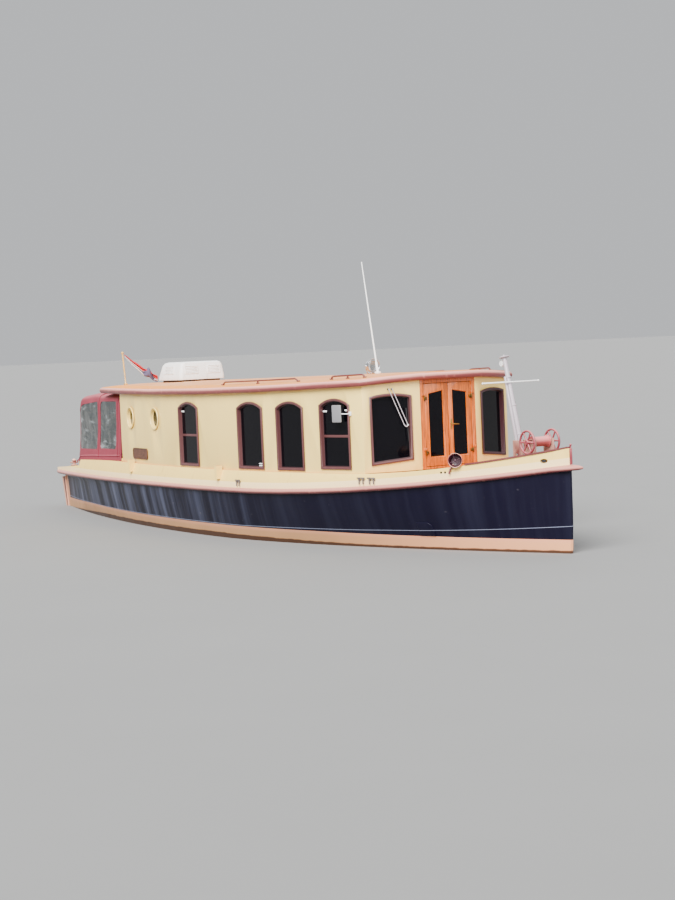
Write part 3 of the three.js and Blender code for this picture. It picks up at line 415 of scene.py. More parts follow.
def mesh_piece(name, points, faces):
    """A new piece from its points and faces."""
    mesh = bpy.data.meshes.new(name)
    mesh.from_pydata(points, [], faces)
    obj = bpy.data.objects.new(name, mesh)
    bpy.context.scene.collection.objects.link(obj)
    return obj


def copy_of(obj, name):
    """A copy with its own mesh."""
    twin = obj.copy()
    twin.data = obj.data.copy()
    bpy.context.scene.collection.objects.link(twin)
    twin.name = name
    twin.data.name = name
    return twin


def painted(obj, *finishes):
    """Gives a piece these finishes, one a slot."""
    obj.data.materials.clear()
    for name in finishes:
        obj.data.materials.append(finish(name))
    return obj


def hand_over(obj, body, slot, *replaced):
    """Fixes a finished piece to its body and hides the nodes it stands for; the slot is not used."""
    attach(obj, body)
    if replaced:
        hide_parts(*replaced)
    return obj


def dress(node, name, bevel, angle):
    """Gives a carried-over node its finish, with eased edges and smooth curves."""
    obj = painted(NODES[node], name)
    for face in obj.data.polygons:
        face.use_smooth = True
    weld = obj.modifiers.new("Weld", "WELD")
    weld.merge_threshold = 0.0001
    if bevel:
        edge = obj.modifiers.new("Eased edge", "BEVEL")
        edge.width = bevel
        edge.segments = 2
        edge.limit_method = "ANGLE"
        edge.angle_limit = math.radians(40)
    split = obj.modifiers.new("Creases", "EDGE_SPLIT")
    split.split_angle = math.radians(angle)
    split.use_edge_sharp = False


# Finishes


def srgb(red, green, blue):
    """A screen colour as the linear colour that a shader takes."""

    def linear(value):
        part = value / 255
        return part / 12.92 if part <= 0.04045 else ((part + 0.055) / 1.055) ** 2.4

    return (linear(red), linear(green), linear(blue), 1.0)


BOTTOM = srgb(70, 40, 34)
FINISHES = {}


def finish(name):
    if name not in FINISHES:
        raise RuntimeError(f"the finish {name} isn't mixed yet: mix the finishes first")
    return FINISHES[name]


class Signal:
    """An output of a node that can be reckoned with like a number."""

    def __init__(self, owner, socket):
        self.owner = owner
        self.socket = socket

    def __add__(self, other):
        return self.owner.maths("ADD", self, other)

    def __sub__(self, other):
        return self.owner.maths("SUBTRACT", self, other)

    def __rsub__(self, other):
        return self.owner.maths("SUBTRACT", other, self)

    def __mul__(self, other):
        return self.owner.maths("MULTIPLY", self, other)

    def __truediv__(self, other):
        return self.owner.maths("DIVIDE", self, other)

    def __pow__(self, other):
        return self.owner.maths("POWER", self, other)

    def __gt__(self, other):
        return self.owner.maths("GREATER_THAN", self, other)

    def __lt__(self, other):
        return self.owner.maths("LESS_THAN", self, other)

    def __abs__(self):
        return self.owner.maths("ABSOLUTE", self)

    def above_zero(self):
        return self.owner.maths("MAXIMUM", self, 0.0)

    __radd__ = __add__
    __rmul__ = __mul__


class Finish:
    """A node material built up step by step."""

    def __init__(self, name, roughness=0.5, metallic=0.0, coat=0.0, ior=1.5, transmission=0.0, specular=0.5):
        self.material = bpy.data.materials.new(name)
        self.material.use_nodes = True
        self.tree = self.material.node_tree
        self.shader = self.tree.nodes["Principled BSDF"]
        for socket, value in (
            ("Metallic", metallic), ("Roughness", roughness), ("Coat Weight", coat), ("IOR", ior),
            ("Transmission Weight", transmission), ("Specular IOR Level", specular),
        ):
            self.shader.inputs[socket].default_value = value
        self.coordinates = self.tree.nodes.new("ShaderNodeTexCoord")
        self.splits = {}
        FINISHES[name] = self.material

    def node(self, kind, output=0, inputs=(), **settings):
        """A node with these inputs fed, as the signal of one of its outputs."""
        node = self.tree.nodes.new(kind)
        for key, value in settings.items():
            setattr(node, key, value)
        for key, value in inputs:
            self.feed(value, node.inputs[key])
        return Signal(self, node.outputs[output])

    def feed(self, value, socket):
        """Links a signal to an input, or sets a plain value on it."""
        if isinstance(value, Signal):
            self.tree.links.new(value.socket, socket)
        elif value is not None:
            socket.default_value = value

    def part(self, source, axis):
        """One axis of the piece's own coordinates, its normal or its UV map."""
        if source not in self.splits:
            split = self.tree.nodes.new("ShaderNodeSeparateXYZ")
            self.tree.links.new(self.coordinates.outputs[source], split.inputs[0])
            self.splits[source] = split
        return Signal(self, self.splits[source].outputs[axis.upper()])

    def axis(self, name):
        return self.part("Object", name)

    def facing(self, name):
        return self.part("Normal", name)

    def mapped(self, stretch, source):
        place = Signal(self, self.coordinates.outputs[source])
        return self.node("ShaderNodeMapping", 0, (("Scale", stretch), ("Vector", place)))

    def noise(self, scale, detail=3, stretch=(1, 1, 1), roughness=0.55, distortion=0.0):
        return self.node("ShaderNodeTexNoise", "Fac", (
            ("Scale", scale), ("Detail", detail), ("Roughness", roughness), ("Distortion", distortion),
            ("Vector", self.mapped(stretch, "Object")),
        ))

    def weave(self, across, along):
        """Threads that cross, from the piece's UV map in metres."""
        place = self.mapped((1, 1, 1), "UV")
        kind = "ShaderNodeTexWave"
        weft = self.node(kind, "Fac", (("Scale", across), ("Vector", place)), bands_direction="X")
        warp = self.node(kind, "Fac", (("Scale", along), ("Vector", place)), bands_direction="Y")
        return weft * warp

    def maths(self, operation, a, b=None):
        return self.node("ShaderNodeMath", 0, ((0, a), (1, b)), operation=operation)

    def window(self, value, low, high):
        """Rises from 0 to 1 as the value goes from low to high."""
        span = (("Value", value), ("From Min", low), ("From Max", high))
        return self.node("ShaderNodeMapRange", "Result", span)

    def blend(self, factor, a, b):
        return self.node("ShaderNodeMix", 2, ((0, factor), (6, a), (7, b)), data_type="RGBA")

    def worn_edges(self, low, high):
        return self.window(self.node("ShaderNodeNewGeometry", "Pointiness"), low, high)

    def colour(self, value):
        self.feed(value, self.shader.inputs["Base Color"])

    def rough(self, value, low, high):
        """Roughness that varies with a pattern."""
        span = (("Value", value), ("To Min", low), ("To Max", high))
        self.feed(self.node("ShaderNodeMapRange", "Result", span), self.shader.inputs["Roughness"])

    def bump(self, height, strength=0.2, distance=0.002):
        relief = (("Strength", strength), ("Distance", distance), ("Height", height))
        self.feed(self.node("ShaderNodeBump", "Normal", relief), self.shader.inputs["Normal"])


def tones(base, darker=0.82, lighter=1.08):
    """A darker and a lighter tone of a colour."""
    dark = tuple(c * darker for c in base[:3]) + (1.0,)
    light = tuple(min(1.0, c * lighter) for c in base[:3]) + (1.0,)
    return dark, light


def mix_gloss_paint(name, base, roughness=0.32, coat=0.3, dirt=(120, 100, 70), grime=0.25):
    """Brushed gloss paint with faint mottling, run-off streaks and rubbed edges."""
    f = Finish(name, roughness, coat=coat)
    dark, light = tones(base)
    tone = f.blend(f.noise(1.7, 4), dark, light)
    streak = f.window(f.noise(5.0, 4, (1.6, 1.6, 0.16)), 0.56, 0.76)
    tone = f.blend(streak * grime, tone, srgb(*dirt))
    f.colour(f.blend(f.worn_edges(0.53, 0.62) * 0.35, tone, light))
    f.rough(f.noise(9.0, 3), roughness - 0.08, roughness + 0.14)
    f.bump(f.noise(42.0, 3, (1, 1, 0.5)), 0.12, 0.0015)


def mix_faded_and_top_lit_paint(name, base, faded, low=0.15, high=0.95, amount=0.85):
    """Paint lighter on what faces the sky, from low to high on its upward slope: partly sun bleaching and
    partly painted top light.
    """
    f = Finish(name, 0.42, coat=0.15)
    tone = f.blend(f.noise(3.0, 4), *tones(base, 0.78, 1.1))
    # Painted top light as well as bleaching: faces turned up take the faded colour, standing in for sunlit
    # tops and highlights.
    lighter_on_top = f.window(f.facing("z") + f.noise(1.3, 4) * 0.55, low, high)
    tone = f.blend(lighter_on_top * amount, tone, faded)
    chalk = f.window(f.noise(14.0, 5), 0.6, 0.72)
    f.colour(f.blend(chalk * 0.25, tone, tones(faded, 0.9, 1.15)[1]))
    f.rough(f.noise(8.0, 3), 0.34, 0.6)
    f.bump(f.noise(50.0, 3), 0.12, 0.0015)


def mix_roof(paint):
    """Tan roof paint bleached in patches, with a wide ochre margin along both sides."""
    f = Finish("roof_paint", 0.55, specular=0.2)
    x, y = f.axis("x"), f.axis("y")
    tone = f.blend(f.noise(2.4, 5), *tones(paint["roof"], 0.86, 1.08))
    patch = f.window(f.noise(1.2, 5), 0.35, 0.7)
    tone = f.blend(patch * 0.7, tone, srgb(232, 170, 116))
    inner = 1.18 - cabin_taper(x - CABIN_WIDE_X)
    margin = f.window(abs(y) - inner, -0.015, 0.015) * (0.2 + f.window(x, 4.0, 0.0) * 0.78)
    tone = f.blend(margin, tone, srgb(240, 150, 40))
    stain = f.window(f.noise(5.0, 6, (0.5, 1, 1)), 0.58, 0.74)
    f.colour(f.blend(stain * 0.3, tone, srgb(150, 108, 84)))
    f.rough(f.noise(8.0, 3), 0.4, 0.65)
    f.bump(f.noise(50.0, 3), 0.12, 0.0015)


def mix_rudder():
    """Pale paint on the blade with a dark red band behind its leading edge."""
    f = Finish("rudder_paint", 0.5, coat=0.1)
    x, z = f.axis("x"), f.axis("z")
    behind = -6.6 - (x + z * 0.17)
    band = (behind > -0.005) * (behind < 0.032 + z * 0.068)
    pale = f.blend(f.noise(4.0, 5), *tones(srgb(206, 146, 118), 0.84, 1.08))
    tone = f.blend(band, pale, srgb(70, 24, 22))
    f.colour(f.blend(z < -0.02, tone, BOTTOM))
    f.rough(f.noise(8.0, 3), 0.4, 0.6)


def topsides(f, base):
    """Navy, darker towards the bow as painted shade, with run-off streaks towards the stern, scuffs and a
    fine pale line near the boot stripe.
    """
    x, z = f.axis("x"), f.axis("z")
    navy = f.blend(f.noise(2.2, 4), *tones(base, 0.7, 1.3))
    # Painted shade: the navy darkens towards the bow.
    navy = f.blend(f.window(x, 1.0, 5.0) * 0.7, navy, srgb(12, 8, 28))
    streak = f.window(f.noise(3.4, 5, (1.0, 0.0, 0.05), 0.62), 0.44, 0.72)
    navy = f.blend(streak * (f.window(x, 2.6, -2.5) * 0.66 + 0.05), navy, srgb(104, 110, 136))
    scuff = f.window(f.noise(11.0, 6, (0.7, 1, 1.2)), 0.68, 0.78)
    navy = f.blend(scuff * 0.2, navy, srgb(120, 116, 122))
    rise = (x - BOW_RISE_X).above_zero() ** 2.0
    line_z = 0.222 + rise * 0.0098 - f.window(x, 4.2, 1.5) * 0.03 - f.window(x, 0.0, -6.0) * 0.013
    return f.blend((abs(z - line_z) < 0.0038) * 0.55, navy, srgb(150, 156, 178))


def boot_stripe(f, base, top):
    """Tan stripe with a wet dark edge along the waterline."""
    x, z = f.axis("x"), f.axis("z")
    boot = f.blend(f.noise(2.6, 5), *tones(base, 0.84, 1.1))
    boot = f.blend(f.window(x, 3.0, 5.5) * 0.85, boot, srgb(236, 164, 118))
    wet = (0.03 + f.window(x, 3.8, 1.0) * 0.038) * f.window(x, -6.3, -3.6)
    weed = f.window(z + f.noise(7.0, 4) * 0.024 - wet, 0.02, 0.008)
    boot = f.blend(weed * 0.95, boot, srgb(58, 36, 26))
    return f.blend(f.window(top - z, 0.05, 0.02) * 0.25, boot, srgb(228, 150, 132))


def mix_hull(paint):
    """Cream above the strake, navy below it, a tan boot stripe and dark bottom paint."""
    f = Finish("hull_zones", 0.3, specular=0.15)
    x, z = f.axis("x"), f.axis("z")
    edge = strake_line((x - STRAKE_LOW_X).above_zero(), (STRAKE_LOW_X - x).above_zero())
    rise = (x - BOW_RISE_X).above_zero() ** 2.0
    boot_top = 0.148 + rise * 0.0012 + f.window(x, 6.5, 3.0) * f.window(x, -6.3, -4.5) * 0.03
    boot = boot_stripe(f, paint["boot"], boot_top)
    below = f.blend(z < boot_top, topsides(f, paint["navy"]), boot)
    below = f.blend(z < -0.02, below, BOTTOM)
    below = f.blend(x + z * 0.13 < -6.425, below, boot)

    cream = f.blend(f.noise(1.6, 4), *tones(paint["cream"], 0.9, 1.05))
    runs = f.window(f.noise(6.0, 4, (1.5, 1.5, 0.2)), 0.58, 0.75)
    cream = f.blend(runs * 0.22, cream, srgb(150, 118, 70))
    # Painted light: the upright band just above the strake is lighter than the leaning bulwark above it.
    cream = f.blend((z < edge + 0.112) * 0.75, cream, srgb(255, 226, 176))
    deck = f.blend(f.noise(3.0, 5), *tones(paint["roof"], 0.86, 1.06))
    cream = f.blend(f.facing("z") > 0.8, cream, deck)
    f.colour(f.blend(z > edge, below, cream))
    f.rough(f.noise(5.0, 4, (1, 1, 0.4)), 0.3, 0.55)
    f.bump(f.noise(1.1, 2) + f.noise(60.0, 3) * 0.05, 0.16, 0.012)


def mix_varnish(name, base, along=(14, 14, 1.0), shine=0.7):
    """Varnished wood with grain running up the piece."""
    f = Finish(name, coat=shine)
    f.shader.inputs["Coat Roughness"].default_value = 0.08
    dark, light = tones(base, 0.5, 1.2)
    grain = f.noise(4.0, 8, along, 0.62, distortion=0.6)
    tone = f.blend(f.window(grain, 0.4, 0.62), light, dark)
    fine = f.noise(30.0, 6, [part * 0.6 for part in along], 0.7)
    f.colour(f.blend(f.window(fine, 0.5, 0.7) * 0.35, tone, dark))
    f.rough(grain, 0.56 - 0.57 * shine, 0.76 - 0.57 * shine)
    f.bump(grain, 0.08, 0.001)


def mix_planks(name, base, width=0.09):
    """Oiled boards with dark caulking between them."""
    f = Finish(name, 0.6)
    grain = f.noise(3.0, 8, (1.0, 16, 16), 0.6, distortion=0.5)
    tone = f.blend(grain, *tones(base, 0.6, 1.15))
    board = f.maths("FRACT", f.axis("y") / width)
    gap = abs(board - 0.5) > 0.47
    f.colour(f.blend(gap, tone, srgb(24, 20, 18)))
    f.rough(grain, 0.5, 0.75)
    f.bump(grain - gap, 0.3, 0.002)


def mix_metal(name, base, roughness, tarnish=(90, 80, 60), amount=0.2):
    """Brushed metal with spots of tarnish."""
    f = Finish(name, roughness, metallic=1.0)
    brushed = f.noise(26.0, 4, (1, 1, 12))
    tone = f.blend(brushed, *tones(base, 0.8, 1.05))
    spots = f.window(f.noise(9.0, 5), 0.56, 0.72)
    f.colour(f.blend(spots * amount, tone, srgb(*tarnish)))
    f.rough(brushed, max(0.04, roughness - 0.08), roughness + 0.12)
    f.bump(brushed, 0.05, 0.0006)


def mix_plastic(name, base, roughness=0.4):
    """Moulded plastic with a fine grain and a little grime."""
    f = Finish(name, roughness)
    tone = f.blend(f.noise(2.0, 3), *tones(base, 0.92, 1.03))
    grime = f.window(f.noise(7.0, 5, (1, 1, 0.4)), 0.58, 0.76)
    f.colour(f.blend(grime * 0.3, tone, srgb(150, 150, 140)))
    f.rough(f.noise(12.0, 3), roughness - 0.06, roughness + 0.14)
    f.bump(f.noise(220.0, 2), 0.1, 0.0006)


def mix_canvas(name, base):
    """Woven canvas, bleached on top and pleated where it meets the cabin, with painted shade darkening each
    pleat.
    """
    f = Finish(name, 0.9)
    dark, light = tones(base, 0.75, 1.2)
    tone = f.blend(f.noise(2.4, 5), dark, light)
    lighter_on_top = f.window(f.facing("z") + f.noise(1.6, 3) * 0.5, 0.5, 1.3)
    tone = f.blend(lighter_on_top * 0.42, tone, srgb(204, 126, 130))
    weave = f.weave(260.0, 260.0)
    tone = f.blend(weave * 0.25, tone, dark)
    x = f.axis("x")
    pleat_shade_and_relief = f.maths("SINE", x * 130.0) * f.window(x, -2.76, -2.7)
    # Painted shade in the pleats: the colour darkens on every fold.
    f.colour(f.blend(pleat_shade_and_relief.above_zero() * 0.45, tone, dark))
    f.bump(weave * 0.12 + (f.noise(7.0, 4, (1, 1, 0.5)) + pleat_shade_and_relief * 0.5), 0.35, 0.006)


def mix_clear_sheet(name):
    """Clear flexible window sheet with pale streaks painted in as reflections."""
    f = Finish(name, 0.12, ior=1.4, transmission=0.8)
    # Painted reflections: pale streaks across the dark sheet.
    reflection_streaks = f.window(f.noise(3.0, 4, (0.5, 0.5, 2.2), 0.55, distortion=0.4), 0.54, 0.66)
    f.colour(f.blend(reflection_streaks, srgb(84, 92, 88), srgb(226, 234, 236)))
    f.rough(reflection_streaks, 0.03, 0.14)
    f.bump(f.noise(1.5, 2, (1.0, 1.0, 2.2), distortion=0.6), 0.5, 0.05)


def mix_glass(name, base, transmission, ior=1.5):
    """Window glass with faint smears."""
    f = Finish(name, 0.04, ior=ior, transmission=transmission)
    smear = f.noise(3.0, 4, (1, 1, 0.6))
    f.colour(f.blend(smear, *tones(base, 0.8, 1.1)))
    f.rough(f.window(smear, 0.4, 0.8), 0.02, 0.1)
    f.bump(f.noise(1.6, 2), 0.05, 0.004)


def mix_flag(name):
    """Bunting in three stripes across the hoist."""
    f = Finish(name, 0.85)
    across = f.part("UV", "y")
    tone = f.blend(across > 1 / 3, srgb(84, 76, 106), srgb(232, 228, 224))
    tone = f.blend(across > 2 / 3, tone, srgb(200, 24, 34))
    f.colour(f.blend(f.noise(6.0, 4) * 0.15, tone, srgb(150, 140, 138)))
    f.bump(f.weave(120.0, 80.0), 0.2, 0.001)


def paint_property(name, description, default):
    return FloatVectorProperty(
        name=name, description=description, default=default[:3], subtype="COLOR", min=0, max=1
    )


def length_property(name, description, default, low, high):
    return FloatProperty(
        name=name, description=description, default=default, min=low, max=high, unit="LENGTH"
    )


class HouseboatPaint(bpy.types.PropertyGroup):
    """Colours of the boat."""

    navy: paint_property("Navy", "Topsides between the boot stripe and the strake", srgb(13, 12, 28))
    cream: paint_property("Cream", "Cabin sides and bulwark", srgb(255, 215, 122))
    maroon: paint_property("Maroon", "Strake, roof edge, window frames and deck gear", srgb(106, 50, 52))
    # The faded colour is also painted top light: maroon surfaces take it where they face up.
    faded: paint_property("Faded maroon", "Maroon where the sun has bleached it", srgb(248, 194, 168))
    boot: paint_property("Boot stripe", "Stripe along the waterline", srgb(178, 132, 92))
    roof: paint_property("Roof", "Roof and decks", srgb(228, 146, 80))
    varnish: paint_property("Varnish", "Front doors and their frame", srgb(200, 96, 8))
    canvas: paint_property("Canvas", "Hood over the cockpit", srgb(138, 46, 62))


class HouseboatSizes(bpy.types.PropertyGroup):
    """Sizes of the fittings."""

    frame_width: length_property("Window frame", "Face width of a window frame", 0.032, 0.02, 0.06)
    reveal: length_property("Window reveal", "Depth of the panes in their frames", 0.042, 0.01, 0.055)
    hood_skin: length_property("Canvas thickness", "Thickness of the hood's canvas", 0.004, 0.001, 0.01)
    spokes: IntProperty(name="Spokes", description="Spokes in each windlass wheel", default=6, min=3, max=10)


def paint_colours(context):
    group = context.scene.houseboat_paint
    return {name: (*getattr(group, name), 1.0) for name in group.__annotations__}


class HOUSEBOAT_OT_finishes(bpy.types.Operator):
    """Mixes the boat's paints, varnish, metals, glass and cloth"""

    bl_idname = "houseboat.finishes"
    bl_label = "Mix finishes"

    def execute(self, context):
        paint = paint_colours(context)
        mix_hull(paint)
        mix_gloss_paint("cream_paint", paint["cream"], 0.3, 0.3, (150, 118, 70), 0.16)
        mix_gloss_paint("window_paint", srgb(88, 50, 50), 0.35, 0.2, (120, 86, 82), 0.35)
        # Painted shade: a darker copy of the frame paint for the port front window, which faces away from
        # the sun.
        mix_gloss_paint("shaded_paint", srgb(54, 22, 28), 0.35, 0.1, (90, 56, 56), 0.25)
        mix_gloss_paint("rail_paint", srgb(104, 50, 48), 0.35, 0.2, (150, 110, 100), 0.3)
        # Painted top light: these maroons go lighter where they face up, partly sun bleaching and partly the
        # lit tops and highlights of the strake, roof band and wheels.
        mix_faded_and_top_lit_paint("maroon_paint", paint["maroon"], paint["faded"])
        mix_faded_and_top_lit_paint("strake_paint", paint["maroon"], srgb(206, 138, 124), -0.2, 0.7, 0.86)
        mix_faded_and_top_lit_paint("band_paint", srgb(132, 62, 62), srgb(240, 168, 150), 0.25, 1.0, 0.85)
        mix_faded_and_top_lit_paint("wheel_paint", srgb(140, 52, 62), srgb(206, 124, 126), 0.3, 1.2, 0.7)
        mix_roof(paint)
        mix_rudder()
        mix_gloss_paint("grey_paint", srgb(198, 190, 194), 0.45, 0.1, (110, 90, 80), 0.35)
        mix_gloss_paint("mast_paint", srgb(178, 166, 172), 0.4, 0.2, (120, 96, 96), 0.3)
        # Painted shade: the face set back round each pane is darker than the frame, for the shade in the
        # recess.
        mix_gloss_paint("dark_sash", srgb(52, 28, 32), 0.4, 0.1, (90, 70, 66), 0.2)
        mix_varnish("varnish", paint["varnish"], shine=0.5)
        mix_varnish("board_varnish", srgb(88, 48, 26), (1.0, 14, 14), 0.2)
        mix_varnish("pine", srgb(222, 172, 82), (14, 14, 0.8))
        mix_planks("teak", srgb(140, 92, 58))
        mix_metal("chrome", srgb(214, 216, 220), 0.12)
        mix_metal("brass", srgb(196, 160, 84), 0.28)
        mix_metal("old_brass", srgb(120, 92, 50), 0.4, tarnish=(52, 40, 30), amount=0.5)
        mix_metal("mirror_glass", srgb(198, 204, 206), 0.05, amount=0.05)
        mix_metal("bronze", srgb(168, 128, 66), 0.4, tarnish=(60, 90, 76), amount=0.5)
        mix_gloss_paint("cleat_paint", srgb(104, 94, 92), 0.45, 0.1, (70, 60, 52), 0.35)
        mix_gloss_paint("engine_paint", srgb(52, 70, 62), 0.5, 0.1, (40, 34, 30), 0.5)
        mix_plastic("white_plastic", srgb(250, 249, 246))
        mix_plastic("grey_plastic", srgb(128, 126, 128), 0.45)
        # Painted shade: this dark plastic fills the shade behind the louvre slats and the shadow under the
        # roof unit.
        mix_plastic("dark_plastic", srgb(46, 46, 50), 0.5)
        mix_plastic("rubber", srgb(26, 26, 28), 0.75)
        mix_canvas("canvas", paint["canvas"])
        mix_clear_sheet("clear_sheet")
        # Near-black glass: besides its tint, its darkness is painted shade standing in for the dark cabin
        # behind it.
        mix_glass("tinted_glass", srgb(20, 18, 26), 0.7, 1.25)
        mix_glass("clear_glass", srgb(206, 214, 214), 0.95)
        # Painted top light on the drum, as on the maroons above.
        mix_faded_and_top_lit_paint("drum_paint", srgb(170, 70, 72), srgb(222, 134, 132))
        # Painted shade: the inside of the cowl's bell, its spider and its boss are dark.
        mix_gloss_paint("cowl_inside", srgb(56, 10, 30), 0.45, 0.1, (90, 40, 56), 0.2)
        mix_flag("bunting")
        return {"FINISHED"}


SHELL = (  # nodes, their finish, width of the eased edges, angle of the creases
    (("hull_shell", "skeg"), "hull_zones", 0, 28),
    (("cabin_side_starboard", "cabin_side_port", "aft_bulkhead"), "cream_paint", 0.004, 32),
    (("front_panel_starboard", "front_panel_port", "cockpit_coaming"), "cream_paint", 0.004, 32),
    (("roof_panel",), "roof_paint", 0, 32),
    (("rubbing_strake",), "strake_paint", 0, 50),
    (("roof_edge_band",), "band_paint", 0, 50),
    (("mast_step", "windlass_frame", "stern_bollard"), "maroon_paint", 0.002, 32),
    (("bulwark_cap_rail",), "rail_paint", 0.002, 32),
    (("grab_rail_starboard_aft", "grab_rail_starboard_fore"), "rail_paint", 0, 60),
    (("grab_rail_port_aft", "grab_rail_port_fore"), "rail_paint", 0, 60),
    (("stem_post",), "wheel_paint", 0.002, 32),
    (("rudder",), "rudder_paint", 0.004, 32),
    (("propeller",), "bronze", 0.003, 32),
    (("engine_block",), "engine_paint", 0.02, 32),
    (("door_frame",), "varnish", 0.004, 32),
    (("cabin_sole", "cockpit_sole", "cockpit_bench"), "teak", 0.003, 32),
    (("helm_console",), "board_varnish", 0.006, 32),
    (("helm_wheel",), "varnish", 0.002, 32),
    (("mast",), "mast_paint", 0.001, 32),
    (("whip_pole",), "white_plastic", 0.001, 32),
    (("flagpole",), "pine", 0.001, 32),
)


class HOUSEBOAT_OT_shell(bpy.types.Operator):
    """Finishes the hull, the cabin walls, the roof and what is fixed to them"""

    bl_idname = "houseboat.shell"
    bl_label = "Hull and cabin"

    def execute(self, context):
        for nodes, paint, bevel, angle in SHELL:
            for node in nodes:
                dress(node, paint, bevel, angle)
        return {"FINISHED"}


# Windows


def arched_window(name, width, sill_a, sill_b, shoulder, rise):
    """One window on its wall: frame outside, liner through the wall and a pane set back in it.

    X runs along the wall from one edge, Y stands out of it, Z is the height.
    """
    sizes = bpy.context.scene.houseboat_sizes
    obj = block(name, (0, 0.004, 0), (width, 0.019, 1))
    edge, count = 0.058, 11
    bisect(obj, "x", [edge + (width - 2 * edge) * i / count for i in range(count + 1)])
    half = width / 2
    radius = (half * half + rise * rise) / (2 * rise)

    def place(co):
        if co.z < 0.5:
            return Vector((co.x, co.y, sill_a + (sill_b - sill_a) * co.x / width))
        top = shoulder + rise - radius + math.sqrt(max(0.0, radius**2 - (co.x - half) ** 2))
        return Vector((co.x, co.y, top))

    reshape(obj, place)
    painted(obj, "window_paint", "tinted_glass", "dark_sash")
    pick(obj, lambda centre, normal: normal.y < -0.9)
    inset(0.021)
    extrude((0, -0.066, 0))
    inset(0.016)
    extrude((0, 0.008, 0))
    assign(obj, 1)
    pick(obj, lambda centre, normal: normal.y > 0.9)
    inset(0.007, 0.004)
    inset(sizes.frame_width - 0.014)
    inset(0.007, -0.004)
    extrude((0, -0.006 - sizes.reveal, 0))
    inset(0.011)
    assign(obj, 1)
    bpy.ops.mesh.select_more()
    leave_edit()
    panes = [face for face in obj.data.polygons if face.material_index == 1 and face.normal.y > 0.9]
    glass_depth = min(face.center.y for face in panes)
    # Painted shade in the recess: the set-back face round the pane gets the darker sash finish.
    for face in obj.data.polygons:
        set_back = face.normal.y > 0.9 and abs(face.center.y - glass_depth) < 0.001
        if set_back and face.material_index == 0:
            face.material_index = 2
    soften(obj, 0.0022, 2, 55)
    return smooth(obj)


PATTERN_WIDTH = 0.59
PORTHOLE_PLACES = (-1.93, -0.92)
PORTHOLE_Z = 1.578
def set_in(pattern, node, slot, place):
    """Sets a copy of a pattern in for a node of the boat."""
    twin = face_out(reshape(copy_of(pattern, f"{node}_glazed"), place))
    return hand_over(twin, "boat", slot, node)


TRANSOMS = ((0, 1.362), (3, 1.378))  # window and height
CATCHES = (  # window, place along it, height, half length, half height
    (0, 0.075, 1.685, 0.032, 0.011), (0, 0.52, 1.685, 0.032, 0.011), (3, 0.07, 1.686, 0.032, 0.011),
    (3, 0.46, 1.696, 0.032, 0.011), (1, 0.48, 0.987, 0.058, 0.008), (1, 0.48, 1.014, 0.058, 0.008),
)
SIDE_WINDOWS = ((-0.06, 0.53, 0), (1.58, 2.165, 0), (2.455, 3.0, 0), (3.305, 3.84, 0.026))  # ends and lift


class HOUSEBOAT_OT_windows(bpy.types.Operator):
    """Makes the arched windows along the cabin and beside the front doors"""

    bl_idname = "houseboat.windows"
    bl_label = "Windows"

    def execute(self, context):
        pattern = arched_window("side_window", PATTERN_WIDTH, 0.942, 0.942, 1.74, 0.08)
        for side, way in SIDES:
            for i, (x0, x1, lift) in enumerate(SIDE_WINDOWS, 1):
                wall = side_wall(x0, x1, way)
                span = math.hypot(x1 - x0, cabin_half(x1) - cabin_half(x0))
                stretch = span / PATTERN_WIDTH
                set_in(pattern, f"side_window_{side}_{i}", "maroon_paint",
                       lambda co: wall(Vector((co.x * stretch, co.y, co.z + lift))))
        remove(pattern)
        pattern = arched_window("front_window", 0.537, 1.01, 1.06, 1.852, 0.034)
        for side, way in SIDES:
            wall = front_wall(way)
            window = set_in(pattern, f"front_window_{side}", "maroon_paint",
                            lambda co: wall(Vector((co.x + 0.085, co.y, co.z))))
            # Painted shade: the port front window's frame takes the darker copy of the frame paint.
            if way > 0:
                window.data.materials[0] = finish("shaded_paint")
        remove(pattern)
        return {"FINISHED"}


class HOUSEBOAT_OT_window_bars(bpy.types.Operator):
    """Adds the transoms and the catches that show in the side windows"""

    bl_idname = "houseboat.window_bars"
    bl_label = "Window bars and catches"

    def execute(self, context):
        for side, way in SIDES:
            bars, catches = [], []
            walls = [side_wall(x0, x1, way) for x0, x1, _ in SIDE_WINDOWS]
            for index, height in TRANSOMS:
                x0, x1, _ = SIDE_WINDOWS[index]
                low, high = (0.038, -0.044, height - 0.016), (x1 - x0 - 0.036, -0.026, height + 0.016)
                rail = block("transom", low, high)
                pick(rail, lambda c, n: n.y > 0.9)
                inset(0.008, 0.003)
                soften(rail, 0.0015)
                bars.append(reshape(rail, walls[index]))
            for index, u, height, long, high in CATCHES:
                catch = block("catch", (u - long, -0.041, height - high), (u + long, -0.024, height + high))
                pick(catch, lambda c, n: n.y > 0.9)
                inset(0.005, 0.003)
                extrude((0, 0.006, 0))
                soften(catch, 0.002)
                catches.append(reshape(catch, walls[index]))
            for name, pieces, paint, slot in (
                ("transoms", bars, "window_paint", "maroon_paint"),
                ("catches", catches, "white_plastic", "white_plastic"),
            ):
                piece = assembled(f"window_{name}_{side}", pieces, 35)
                hand_over(painted(piece, paint), "boat", slot)
        return {"FINISHED"}


